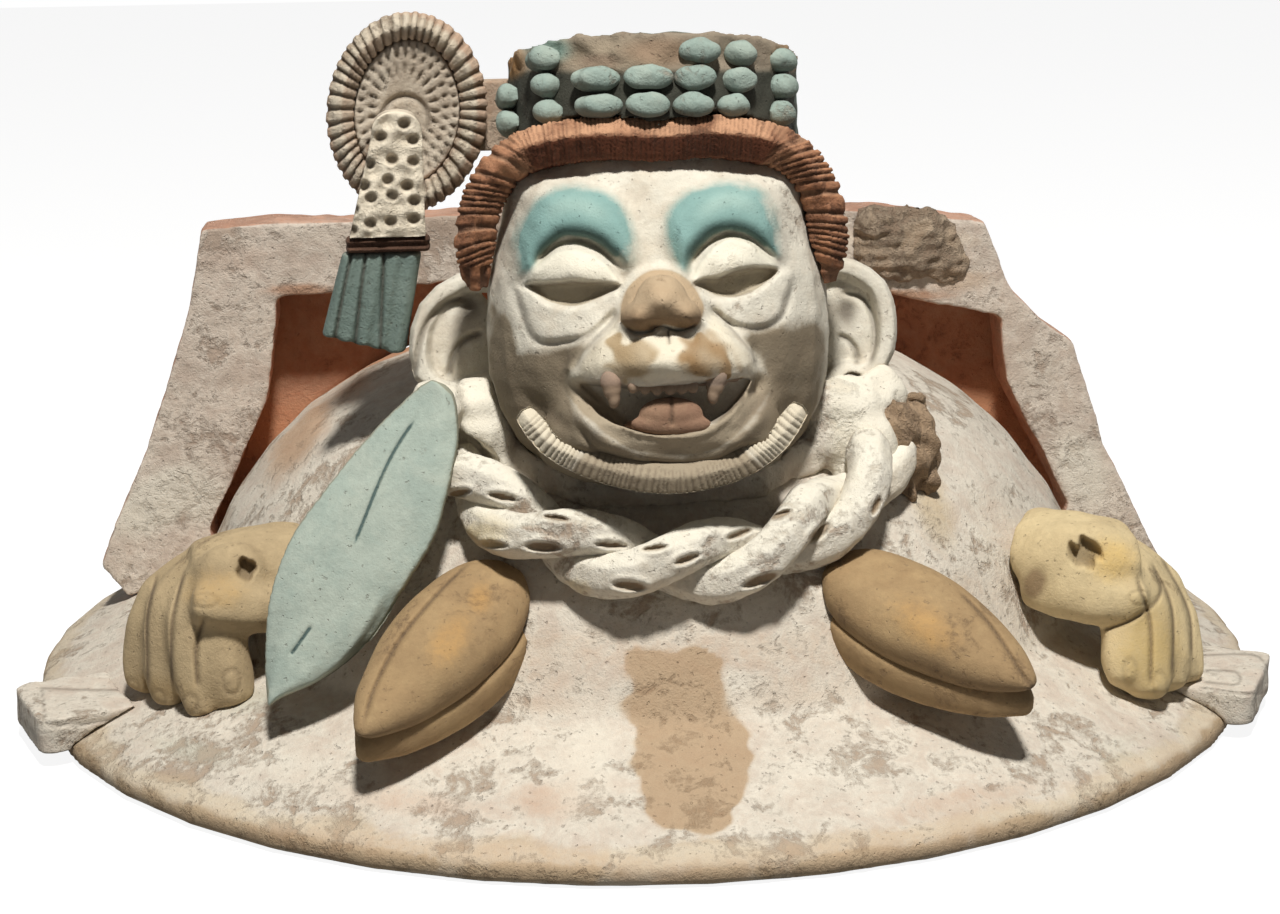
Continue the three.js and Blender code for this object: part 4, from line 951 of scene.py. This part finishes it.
def model_mouth():
    work = Clay(dense_copy("upper_gum", ["upper_teeth"], 0.0005, 4, swell=0.55))
    hanging = np.maximum(work.seen[:, 1] - GUM_LINE, 0)
    work.slide(np.zeros(work.count), -0.7 * hanging)
    work.finish("tooth_slip", "upper_teeth")
    teeth = [lump(from_picture(tooth, TEETH_DEPTH - 1.5), (1.75, 2.2, 2.3)) for tooth in INCISORS]
    for place, wide, high in FANGS:
        teeth.append(lump(from_picture(place, TEETH_DEPTH), (wide, 2.5, high)))
    work = Clay(balls_of_clay("teeth_and_fangs", teeth, 0.0004, 10))
    # Painted shade on the teeth's lower parts, inside the mouth
    work.brush(smooth_step(work.seen[:, 1], *FANG_SHADE), FANG_SHADE_BROWN, 0.8)
    work.finish("tooth_slip")
    work = Clay(dense_copy("tongue_tip", ["tongue"], 0.0005, 12, extra=lumps(TONGUE_TIP)))
    # Painted shade in the groove that splits the tongue
    work.soil_and_shade(stroke(work.seen, TONGUE_SPLIT, 5, 0), 0.7)
    work.push(-0.9 * stroke(work.seen, TONGUE_SPLIT, 6, 0), (0, -1, 0))
    work.finish("tongue_stain", "tongue")

    work = Clay(dense_copy("beard_comb", ["beard_fringe"], 0.00055, 16, swell=1.1))
    distance, _, travelled = along_line(work.seen, curved(BEARD_LINE))
    gap = 0.5 + 0.5 * np.cos(2 * math.pi * (BEARD_HAIRS * travelled + 0.5 * np.sin(37 * travelled)))
    ends = smooth_step(np.abs(travelled - 0.5), 0.26, 0.34)
    cut = smooth_step(gap, 0.5, 0.95) * smooth_step(distance, 20, 13) * work.facing
    cut *= smooth_step(np.minimum(travelled, 1 - travelled), 0.004, 0.02)
    work.lift(-1.8 * work.facing - 0.6 * (1 - ends))
    work.push(-(0.35 + 0.35 * ends) * cut)
    work.look_again()
    # The beard's ends lighter, its middle below the mouth dark as painted shade, and painted shade in the
    # gaps between the hairs
    work.brush(work.facing * ends, (0.66, 0.60, 0.49), 0.9)
    work.brush(work.facing * (1 - ends), (0.33, 0.28, 0.215), 0.8)
    work.soil_and_shade(cut * ends, 0.7)
    work.soil_and_shade(cut * (1 - ends), 0.4)
    work.finish("face_slip", "beard_fringe")


HAIR_GROOVES = 128
SIDE_GROOVES = 58
CREST_HIGHLIGHT_RED = (0.62, 0.41, 0.28)


def model_hair():
    piece = dense_copy("hair_braid", ["hair_roll"], 0.00058, 6)
    work = Clay(piece)
    soften(piece, np.full(work.count, 1.0), 20)
    work = Clay(piece)
    line = curved(HAIR_LINE)
    distance, sided, travelled = along_line(work.seen, line)
    slope = np.where(np.abs(travelled - 0.5) > 0.24, 0.0006, 0.00008)
    lean = travelled + slope * sided * np.sign(travelled - 0.5)
    on_top = smooth_step(np.abs(travelled - 0.5), 0.30, 0.20)
    fine = 0.5 + 0.5 * np.cos(2 * math.pi * (HAIR_GROOVES * lean + 0.6 * np.sin(31 * lean)))
    coarse = 0.5 + 0.5 * np.cos(2 * math.pi * (SIDE_GROOVES * lean + 0.8 * np.sin(47 * lean)))
    groove = smooth_step(fine, 0.6, 1.0) * on_top * 0.8 + smooth_step(coarse, 0.55, 1.0) * (1 - on_top)
    groove *= smooth_step(distance, 42, 30)
    work.push(-(0.55 + 0.35 * (1 - on_top)) * groove)
    work.look_again()
    # Painted highlight on the roll's upward-facing top
    lit_crest = smooth_step(work.out[:, 2], 0.1, 0.75) * (0.8 + 0.4 * ripple(work.places, 0.012, 65))
    work.brush(lit_crest, CREST_HIGHLIGHT_RED, 0.85)
    # Painted highlight on the ridges between the side grooves
    work.brush((1 - on_top) * (1 - groove) * work.facing, (0.42, 0.22, 0.12), 0.45)
    # Painted shade where the roll's top turns down and under
    under = on_top * smooth_step(work.out[:, 2], 0.25, -0.1)
    work.brush(under * work.facing, (0.15, 0.062, 0.035), 0.85)
    # Painted shade in the grooves
    work.soil_and_shade(groove, 0.55)
    work.finish("hair_red", "hair_roll")


EAR_GROOVES = {
    "left": [
        [(474, 296), (446, 303), (428, 322), (418, 350), (414, 380)],
        [(484, 332), (464, 340), (453, 357), (449, 378)],
    ],
    "right": [
        [(840, 292), (862, 298), (873, 318), (875, 345), (868, 370)],
        [(836, 335), (848, 340), (856, 352), (857, 366)],
    ],
}
# Each ear's hollow, carved and painted in shade; on the left ear it is also the hair's painted shadow
EAR_HOLLOWS = {"left": ((470, 306), (13, 14)), "right": ((846, 314), (13, 20))}


def model_ears():
    for hand, grooves in EAR_GROOVES.items():
        work = Clay(dense_copy("monkey_ear_" + hand, ["ear_" + hand], 0.0006, 14, swell=0.3))
        place, size = EAR_HOLLOWS[hand]
        work.carve_lines(grooves, 2.2, 10)
        work.lift(-3.0 * dome(work.seen, place, size) * work.facing)
        work.look_again()
        # Painted shade in the ear's grooves and hollow, and on the left ear the hair's painted shadow
        work.soil_and_shade_lines(grooves, 9, 0.65)
        work.soil_and_shade(dome(work.seen, place, size) * work.facing, 0.9)
        work.finish("face_slip", "ear_" + hand)
    Clay(dense_copy("lobe_ball", ["lobe_ball_right"], 0.0006, 3)).finish("bare_clay", "lobe_ball_right")


# HEADDRESS: a drum with rows of applied pellets, some of them lost

BAND_SCARS = [
    ((505, 62), (18, 15), 0, (0.44, 0.24, 0.11), 1.0),
    ((600, 55), (70, 15), 0, (0.40, 0.31, 0.235), 0.9),
    ((660, 52), (34, 14), 0, (0.33, 0.22, 0.155), 0.9),
    ((600, 62), (20, 8), 0, (0.30, 0.20, 0.15), 0.7),
    ((550, 50), (20, 12), 0, (0.24, 0.32, 0.29), 0.9),
    ((788, 55), (14, 14), 0, (0.30, 0.19, 0.12), 1.0),
]
BROKEN_ABOVE = (74, 66)
PELLET_ROWS = {"upper": 4, "middle": 7, "lower": 7}
BAND_SHADE = (0.06, 0.055, 0.045)
BROKEN_CLAY = (0.36, 0.28, 0.22)


def model_headdress():
    work = Clay(dense_copy("headdress_drum", ["headdress_band"], 0.0009, 3))
    lost = smooth_step(work.seen[:, 1], *BROKEN_ABOVE) * work.facing
    rough = 0.3 * ripple(work.places, 0.006, 64) + 0.6 * ripple(work.places, 0.011, 69)
    rough = rough + 0.6 * ripple(work.places, 0.019, 59)
    work.push(0.35 * (ripple(work.places, 0.01, 61) - 0.6) + lost * rough)
    work.look_again()
    work.brush(work.facing, BAND_SHADE, 0.9)
    work.brush(lost, BROKEN_CLAY, 0.9)
    work.brush_patches(BAND_SCARS, 0.5)
    work.finish("blue_coat", "headdress_band")
    for row, count in PELLET_ROWS.items():
        for number in range(1, count + 1):
            node = "pellet_%s_%d" % (row, number)
            low, high = (Vector(corner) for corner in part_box(node))
            half = (high - low) * 640
            ball = lump((low + high) / 2, (half.x, half.y, half.z))
            work = Clay(dense_copy("clay_" + node, [node], 0.0005, 40, swell=0.6, extra=[ball]))
            work.push(0.35 * (ripple(work.places, 0.008, 70 + number) + 0.4))
            work.look_again()
            # Painted shade under each pellet and on its back
            under = smooth_step(work.out[:, 2], -0.2, -0.75)
            sunk = smooth_step(work.out[:, 1], -0.2, 0.1)
            work.soil_and_shade(np.maximum(under, sunk), 0.6)
            work.finish("blue_coat", node)


# EAR ORNAMENT

RING_MIDDLE = (403, 109)
RING_RADII = (67.0, 86.0)
DISH_RADII = (58.0, 73.0)
FLUTES = 46
DISH_ROWS = [(0.90, 40, 3.0), (0.74, 30, 3.6), (0.54, 24, 6.0)]
PENDANT_HOLES = [
    (381, 137), (404, 124), (413, 140), (369, 164), (392, 160), (413, 162), (364, 186), (388, 180),
    (407, 186),
    (353, 210), (371, 198), (392, 196), (414, 201), (370, 224), (391, 222), (414, 219), (352, 231),
]
TASSEL_FOLDS = [
    [(352, 252), (342, 300), (333, 350)], [(366, 252), (360, 300), (354, 356)],
    [(384, 252), (382, 300), (380, 362)],
]
TASSEL_TOP = (262, 250)
DISH_REACH = 66
PENDANT_ARCH = ((405, 122), (24, 26))
ARCH_REACH = 25
ARCH_FOOT = 126
PENDANT_HEAD = ((398, 118), (22, 16))
HOLE_SIZE = (5.5, 5.0)


def round_ring(points, middle, radii):
    """How far out a point is, 1 on the oval, and how far round it lies, 0 to 1."""
    d = (points - np.array(middle)) / np.array(radii)
    return np.hypot(d[:, 0], d[:, 1]), np.arctan2(d[:, 1], d[:, 0]) / (2 * math.pi)


def model_ornament():
    work = Clay(dense_copy("fluted_ring", ["ornament_ring"], 0.0006, 60, swell=0.4))
    out_by, round_by = round_ring(work.seen, RING_MIDDLE, RING_RADII)
    wave = 0.5 + 0.5 * np.cos(2 * math.pi * (FLUTES * round_by + 0.3 * np.sin(2 * math.pi * 5 * round_by)))
    groove = smooth_step(wave, 0.55, 0.98) * smooth_step(work.out[:, 1], 0.35, -0.1)
    work.push(-1.3 * groove)
    work.look_again()
    work.brush(work.facing, (0.66, 0.59, 0.48), 0.5)
    work.brush(smooth_step(out_by, 1.08, 1.14), (0.46, 0.29, 0.21), 0.6)
    work.brush(smooth_step(out_by, 0.94, 0.88), (0.42, 0.27, 0.19), 0.5)
    # Painted shade in the flutes
    work.soil_and_shade(groove, 0.6)
    work.finish("ornament_slip", "ornament_ring")

    work = Clay(dense_copy("ornament_dish", ["ornament_face"], 0.0006, 3, swell=0.2))
    out_by, round_by = round_ring(work.seen, RING_MIDDLE, DISH_RADII)
    marks = np.zeros(work.count)
    for reach, count, length in DISH_ROWS:
        comb = smooth_step(0.5 + 0.5 * np.cos(2 * math.pi * (count * round_by + reach * 7)), 0.62, 0.95)
        marks = np.maximum(marks, comb * np.exp(-(((out_by - reach) * DISH_REACH) / length) ** 2))
    arch, _ = round_ring(work.seen, *PENDANT_ARCH)
    arch = np.exp(-(((arch - 1) * ARCH_REACH) / 2.6) ** 2) * (work.seen[:, 1] < ARCH_FOOT)
    marks = np.maximum(marks, arch)
    marks *= work.facing
    work.lift(-1.3 * marks)
    work.look_again()
    # Painted shade in the impressed marks
    work.soil_and_shade(marks, 0.62)
    work.brush(smooth_step(out_by, 0.93, 1.0), (0.36, 0.23, 0.16), 0.5)
    work.finish("ornament_slip", "ornament_face")

    work = Clay(dense_copy("ornament_pendant_strip", ["ornament_pendant"], 0.0005, 8))
    swollen = 0.8 * ripple(work.places, 0.007, 75) + 0.8 * dome(work.seen, *PENDANT_HEAD)
    work.lift(swollen * work.facing)
    holes = np.zeros(work.count)
    for hole in PENDANT_HOLES:
        holes = np.maximum(holes, spot(work.seen, hole, HOLE_SIZE, 0, 0.35))
    work.lift(-2.4 * holes * work.facing)
    work.look_again()
    work.brush(work.facing, (0.80, 0.73, 0.61), 0.8)
    # Painted shade in the punched holes
    work.soil_and_shade(holes * work.facing, 0.75)
    work.finish("ornament_slip", "ornament_pendant")

    work = Clay(dense_copy("ornament_cords", ["ornament_tie"], 0.0005, 3))
    work.brush(np.ones(work.count), (0.15, 0.09, 0.065))
    work.finish("bare_clay", "ornament_tie")

    work = Clay(dense_copy("ornament_fringe", ["ornament_tassel"], 0.0006, 30, swell=0.3))
    work.carve_lines(TASSEL_FOLDS, 1.8, 6, 0.02)
    work.look_again()
    # Painted shade in the folds
    work.soil_and_shade_lines(TASSEL_FOLDS, 5, 0.8, 0.02)
    work.brush(smooth_step(work.seen[:, 1], *TASSEL_TOP) * work.facing, (0.42, 0.40, 0.34), 0.7)
    work.finish("tassel_blue", "ornament_tassel")

    work = Clay(dense_copy("lost_ornament_scar", ["ornament_scar"], 0.0008, 3))
    work.push(0.7 * ripple(work.places, 0.006, 76) + 0.7 * ripple(work.places, 0.013, 77))
    work.finish("scar_clay", "ornament_scar")


# COLLAR AND ROPE

# Each impressed mark: its middle, its half length and half width, and its slant in the picture
ROPE_MARKS = [
    ((459, 493), (12, 5), -10), ((503, 497), (16, 5), 12), ((493, 545), (15, 5), 4),
    ((543, 547), (19, 6.5), 3),
    ((611, 545), (17, 4.5), 4), ((630, 586), (18, 6.5), 6), ((687, 559), (14, 5), -20),
    ((739, 534), (14, 4.5), -20),
    ((780, 515), (13, 4.5), -20), ((820, 532), (14, 6), -42), ((761, 580), (20, 6.5), -20),
    ((876, 506), (11, 5), -65),
    ((655, 548), (13, 4), -8), ((556, 518), (14, 4), 8),
]
ROPE_STAINS = [
    ((480, 535), (30, 18), 0, (0.58, 0.48, 0.30), 0.6), ((575, 590), (20, 14), 0, (0.58, 0.48, 0.30), 0.5),
]
ROPE_WHITE = (0.80, 0.76, 0.66)
MARK_BROWN = (0.30, 0.22, 0.15)
SHOULDER_WHITE = (0.78, 0.74, 0.64)
SHOULDER_LUMPS = [
    ((840, 436), -104, (13, 9, 12)), ((862, 466), -107, (10, 8, 11)), ((880, 400), -96, (9, 6, 12)),
    ((868, 448), -107, (10, 8, 14)), ((828, 410), -102, (10, 8, 10)),
]


def model_rope():
    for strand in ("a", "b"):
        node = "rope_strand_" + strand
        work = Clay(dense_copy("twisted_strand_" + strand, [node], 0.0008, 40, swell=2.0))
        work.push(0.3 * ripple(work.places, 0.02, 81) + 0.12 * ripple(work.places, 0.006, 82))
        work.look_again()
        cuts = np.zeros(work.count)
        rims = np.zeros(work.count)
        for middle, size, slant in ROPE_MARKS:
            cut = spot(work.seen, middle, (size[0] - 1, size[1] - 1.5), slant, 0.35)
            cuts = np.maximum(cuts, cut)
            around = spot(work.seen, middle, (size[0] + 4, size[1] + 4), slant, 0.3)
            rims = np.maximum(rims, around - cut)
        work.lift((0.8 * np.clip(rims, 0, 1) - 1.7 * cuts) * work.facing)
        work.look_again()
        work.brush(work.facing * smooth_step(work.out[:, 2], 0.1, 0.6), ROPE_WHITE, 0.6)
        work.brush(cuts * work.facing, MARK_BROWN, 0.7)
        # Painted shade in the impressed marks
        work.soil_and_shade(cuts * work.facing, 0.25)
        work.brush_patches(ROPE_STAINS, 0.6)
        work.finish("rope_slip", node)
    work = Clay(dense_copy("neck_clay", ["neck_collar"], 0.0012, 10, swell=0.8, extra=lumps(SHOULDER_LUMPS)))
    work.push(0.7 * ripple(work.places, 0.018, 85) + 0.35 * ripple(work.places, 0.007, 86))
    work.look_again()
    work.brush(smooth_step(np.abs(work.places[:, 0]), 0.045, 0.055), SHOULDER_WHITE, 0.85)
    work.finish("lid_slip", "neck_collar")


# LEAF, PODS AND HANDS

# The leaf's left and right edges at heights down the picture
LEAF_EDGES = [
    (380, 426, 438), (388, 412, 450), (400, 402, 456), (425, 377, 459), (452, 354, 457), (503, 314, 446),
    (541, 289, 434), (591, 271, 404), (629, 266, 381), (654, 265, 360), (673, 265, 337), (686, 266, 314),
    (698, 267, 284), (706, 268, 271),
]
LEAF_WAIST = 640
THICK_EDGE_FROM = (580, 625)
LEAF_RIB = [(418, 415), (395, 450), (378, 485), (362, 525), (352, 550)]
LEAF_FOOT_RIB = [(312, 625), (290, 656)]
LEAF_STUB_LUMPS = [
    ((908, 440), -99, (10.5, 7, 14)), ((893, 430), -103, (9, 7, 10)), ((893, 468), -103, (7, 6, 9)),
    ((928, 476), -97, (4, 5, 7)), ((880, 412), -102, (6, 5, 4)),
]
STUB_TOP = 402


def model_leaf():
    work = Clay(dense_copy("agave_leaf", ["leaf_left"], 0.0008, 10, swell=0.3))
    foot = work.seen[:, 1].max()
    tip = LEAF_EDGES[-1][0]
    below = np.maximum(work.seen[:, 1] - LEAF_WAIST, 0)
    work.slide(np.zeros(work.count), below * ((tip - LEAF_WAIST) / (foot - LEAF_WAIST) - 1))
    work.look_again()
    u, v = work.seen[:, 0], work.seen[:, 1]
    levels = np.linspace(v.min() + 1, v.max() - 1, 70)
    near = [u[np.abs(v - height) < 3] for height in levels]
    left = np.interp(v, levels, [row.min() for row in near])
    right = np.interp(v, levels, [row.max() for row in near])
    heights, new_left, new_right = curved(LEAF_EDGES).T
    new_left, new_right = np.interp(v, heights, new_left), np.interp(v, heights, new_right)
    part = (u - left) / np.maximum(right - left, 1)
    work.slide(new_left + part * (new_right - new_left) - u)
    work.look_again()
    front = work.facing
    thick_edge = smooth_step(part, 0.84, 0.93) * smooth_step(v, *THICK_EDGE_FROM) * front
    work.lift(-2.4 * thick_edge)
    work.carve_lines((LEAF_RIB, LEAF_FOOT_RIB), 1.0, 5, mask=front)
    work.lift(0.25 * ripple(work.places, 0.02, 90) * front)
    work.look_again()
    for rib in (LEAF_RIB, LEAF_FOOT_RIB):
        work.brush(stroke(work.seen, rib, 7) * front, (0.10, 0.14, 0.14), 0.9)
    edge = 1 - smooth_step(-work.out[:, 1], 0.35, 0.7)
    work.brush(edge, (0.34, 0.33, 0.27), 0.85)
    work.brush(thick_edge, (0.30, 0.32, 0.28), 0.85)
    work.finish("leaf_blue", "leaf_left")
    balls = lumps(LEAF_STUB_LUMPS)
    work = Clay(dense_copy("broken_leaf", ["leaf_stub_right"], 0.0008, 8, swell=0.6, extra=balls))
    above = np.maximum(STUB_TOP - work.seen[:, 1], 0)
    work.slide(np.zeros(work.count), 0.8 * above)
    work.look_again()
    work.push(0.8 * ripple(work.places, 0.009, 91) + 0.5 * ripple(work.places, 0.004, 92))
    work.look_again()
    work.brush(work.facing, (0.42, 0.325, 0.235), 0.9)
    work.finish("bare_clay", "leaf_stub_right")


POD_SEAMS = {
    "left": [(470, 562), (435, 597), (400, 640), (375, 687), (362, 728)],
    "right": [(960, 592), (990, 625), (1010, 655), (1030, 688)],
}
POD_SWELL = (60, 60)
POD_TIPS = {"left": ((366, 735), (70, 70)), "right": ((1018, 686), (70, 70))}
POD_TIP_LIFT = 3.5
# Patches of lighter orange on each pod: its flush of colour and a painted highlight
POD_FLUSH_AND_HIGHLIGHT = {
    "left": [((480, 598), (16, 20), 20), ((450, 640), (22, 40), 30)],
    "right": [((925, 625), (50, 26), 35)],
}


def model_pods():
    for hand, seam in POD_SEAMS.items():
        work = Clay(dense_copy("cacao_pod_" + hand, ["pod_" + hand], 0.0008, 160, swell=1.8))
        work.lift(2.5 * dome(work.seen, work.seen.mean(0), POD_SWELL) * work.facing)
        work.lift(POD_TIP_LIFT * dome(work.seen, *POD_TIPS[hand]))
        work.lift(-1.8 * stroke(work.seen, seam, 7) * work.facing)
        work.push(0.2 * ripple(work.places, 0.02, 93))
        work.look_again()
        # Painted shade along the seam
        work.soil_and_shade(stroke(work.seen, seam, 5) * work.facing, 0.85)
        flush_and_highlight = [(*oval, (0.55, 0.36, 0.16), 0.5) for oval in POD_FLUSH_AND_HIGHLIGHT[hand]]
        work.brush_patches(flush_and_highlight, 0.8)
        # Painted shade on the pod's undersides
        low = smooth_step(work.out[:, 2], 0.25, -0.2)
        work.soil_and_shade(low, 0.35)
        work.finish("pod_ochre", "pod_" + hand)
        work = Clay(dense_copy("pod_husk_" + hand, ["husk_" + hand], 0.0008, 20, swell=0.6))
        work.lift(POD_TIP_LIFT * dome(work.seen, *POD_TIPS[hand]))
        deep = smooth_step(work.out[:, 2], 0.2, -0.5)
        work.push(2.5 * deep, (0, 0.2, -1))
        work.look_again()
        work.finish("pod_ochre", "husk_" + hand)


HAND_HOLES = {"left": ((247, 570), (9, 10)), "right": ((1085, 553), (15, 13))}
HAND_LUMPS = {
    "left": [((232, 572), -98, (13, 9, 12))],
    "right": [
        ((1050, 560), -105, (13.5, 11, 16)), ((1090, 562), -108, (18, 10.5, 15)),
        ((1082, 592), -112, (17, 9.5, 10)),
        ((1128, 596), -116, (9.5, 7.5, 7)), ((1026, 548), -102, (8, 9, 12)),
    ],
}
FINGER_GROOVES = {
    "left": [
        [(158, 572), (147, 620), (148, 690)], [(185, 568), (172, 625), (172, 690)],
        [(205, 615), (196, 650), (198, 690)],
    ],
    "right": [
        [(1136, 575), (1150, 625), (1150, 690)], [(1150, 560), (1172, 610), (1172, 680)],
        [(1160, 555), (1188, 610), (1192, 660)],
        [(1098, 632), (1128, 622), (1152, 606), (1161, 588), (1152, 568)],
    ],
}
NAILS = {
    "left": [
        ((205, 601), (13, 7)), ((132, 690), (7, 10)), ((158, 700), (7, 9)), ((190, 704), (7, 9)),
        ((232, 682), (9, 12)),
    ],
    "right": [((1140, 598), (11, 7)), ((1130, 672), (7, 12)), ((1160, 685), (7, 12)), ((1192, 672), (6, 11))],
}
HAND_PATCHES = {
    "left": [
        ((215, 590), (40, 26), 0, (0.46, 0.33, 0.17), 0.5),
        ((150, 690), (50, 20), 0, (0.34, 0.26, 0.15), 0.5),
    ],
    "right": [
        ((1112, 560), (30, 26), 20, (0.68, 0.50, 0.24), 0.6),
        ((1034, 584), (13, 18), 20, (0.30, 0.235, 0.165), 0.75),
        ((1150, 650), (40, 60), 0, (0.46, 0.36, 0.19), 0.6),
    ],
}


# The right hand's blunt end is slid across the picture and melted into the thumb, over a dent
BLUNT_END = ((1000, 508), (50, 44))
BLUNT_END_SLIDE = (24, 8)
MELTED_THUMB = ((1020, 560), (60, 90))
THUMB_DENT = ((1034, 584), (13, 18), 20)


def model_hands():
    for hand in ("left", "right"):
        nodes = ["hand_" + hand, "thumb_" + hand]
        balls = lumps(HAND_LUMPS[hand])
        piece = dense_copy("clay_hand_" + hand, nodes, 0.0008, 110, swell=1.7, extra=balls)
        work = Clay(piece)
        if hand == "right":
            corner = spot(work.seen, *BLUNT_END, 0, 0.9)
            work.slide(BLUNT_END_SLIDE[0] * corner, BLUNT_END_SLIDE[1] * corner)
            work.look_again()
            soften(piece, spot(work.seen, *MELTED_THUMB, 0, 0.5), 160)
            work = Clay(piece)
            work.lift(-0.6 * spot(work.seen, *THUMB_DENT, 0.4) * work.facing)
        front = work.facing
        place, size = HAND_HOLES[hand]
        work.carve_lines(FINGER_GROOVES[hand], 1.6, 7, mask=front)
        ragged = 3.0 * ripple(work.places, 0.006, 96)[:, None]
        hole = spot(work.seen + ragged, place, size, 20, 0.3)
        work.lift(-5.5 * hole * front)
        rims = np.zeros(work.count)
        for nail, nail_size in NAILS[hand]:
            d, _ = round_ring(work.seen, nail, nail_size)
            rims = np.maximum(rims, np.exp(-(((d - 1) * nail_size[0]) / 2.0) ** 2))
        work.lift(-0.45 * rims * front)
        work.push(0.25 * ripple(work.places, 0.015, 97))
        work.look_again()
        # Painted shade in the finger grooves, the hole and round the nails
        work.soil_and_shade_lines(FINGER_GROOVES[hand], 6, 0.8, mask=front)
        work.soil_and_shade(hole * front, 0.65)
        work.soil_and_shade(rims * front, 0.2)
        work.brush_patches(HAND_PATCHES[hand], mask=front)
        work.finish("hand_ochre" if hand == "left" else "hand_yellow", *nodes)


LUG_LINES = {
    "left": [
        [(40, 688), (100, 690), (152, 688)], [(46, 725), (100, 722), (150, 708)], [(42, 690), (46, 724)],
    ],
    "right": [
        [(1200, 655), (1259, 657), (1265, 692), (1200, 688)],
        [(1205, 670), (1236, 672), (1237, 684), (1205, 682)],
    ],
}


def model_lugs():
    for hand, lines in LUG_LINES.items():
        work = Clay(dense_copy("clay_lug_" + hand, ["lug_" + hand], 0.0009, 8))
        work.push(0.3 * (ripple(work.places, 0.012, 95) - 0.8))
        work.carve_lines(lines, 1.0, 5, 0.02)
        work.look_again()
        # Painted shade in the incised lines
        work.soil_and_shade_lines(lines, 4, 0.6, 0.02)
        work.finish("lid_slip", "lug_" + hand)


for model_part in (
    model_lid, model_chimney, model_panel, model_face, model_mouth, model_hair, model_ears,
    model_headdress, model_ornament, model_rope, model_leaf, model_pods, model_hands, model_lugs,
):
    model_part()


# LIGHT AND FLOOR: one lamp high in front, on a white ground

FLOOR_GREY = (0.22, 0.22, 0.22, 1)
FLOOR_GLOW = 0.9
FILL = 0.08
LAMP_HEIGHT_ANGLE = math.radians(61)
LAMP_DISTANCE = 1.9
LAMP_TARGET = Vector((0, -0.06, 0.09))
LAMP_WIDTH = 0.2
LAMP_WATTS = 44
LAMP_COLOUR = (1.0, 0.975, 0.93)


def white_for_camera(tree, strength):
    """A strength that only the camera and reflections see, so the white ground adds no light."""
    path = tree.nodes.new("ShaderNodeLightPath")
    seen_by = maths(tree, "MAXIMUM", path.outputs["Is Camera Ray"], path.outputs["Is Glossy Ray"])
    seen_by = maths(tree, "MAXIMUM", seen_by, path.outputs["Is Transmission Ray"])
    return maths(tree, "MULTIPLY", seen_by, strength)


bpy.ops.mesh.primitive_plane_add(size=8, location=(0, 0, 0))
floor = bpy.context.view_layer.objects.active
floor.name = "studio_floor"
paper = bpy.data.materials.new("white_paper")
paper.use_nodes = True
paper_tree = paper.node_tree
paper_shader = paper_tree.nodes["Principled BSDF"]
paper_shader.inputs["Base Color"].default_value = FLOOR_GREY
paper_shader.inputs["Roughness"].default_value = 1.0
paper_shader.inputs["Specular IOR Level"].default_value = 0.0
paper_shader.inputs["Emission Color"].default_value = (1, 1, 1, 1)
link(paper_tree, white_for_camera(paper_tree, FLOOR_GLOW), paper_shader.inputs["Emission Strength"])
floor.data.materials.append(paper)

lamp_data = bpy.data.lights.new("key_lamp", "AREA")
lamp_data.shape = "DISK"
lamp_data.size = LAMP_WIDTH
lamp_data.energy = LAMP_WATTS
lamp_data.color = LAMP_COLOUR
lamp = bpy.data.objects.new("key_lamp", lamp_data)
bpy.context.scene.collection.objects.link(lamp)
lamp_way = Vector((0, -math.cos(LAMP_HEIGHT_ANGLE), math.sin(LAMP_HEIGHT_ANGLE)))
lamp.location = LAMP_TARGET + LAMP_DISTANCE * lamp_way
lamp.rotation_euler = (LAMP_TARGET - lamp.location).to_track_quat("-Z", "Y").to_euler()

world = bpy.data.worlds.new("studio")
world.use_nodes = True
sky = world.node_tree
backdrop = sky.nodes["Background"]
backdrop.inputs["Color"].default_value = (1, 1, 1, 1)
whiteness = maths(sky, "ADD", white_for_camera(sky, 1 - FILL), FILL)
link(sky, whiteness, backdrop.inputs["Strength"])
bpy.context.scene.world = world
bpy.context.scene.view_settings.view_transform = "Standard"
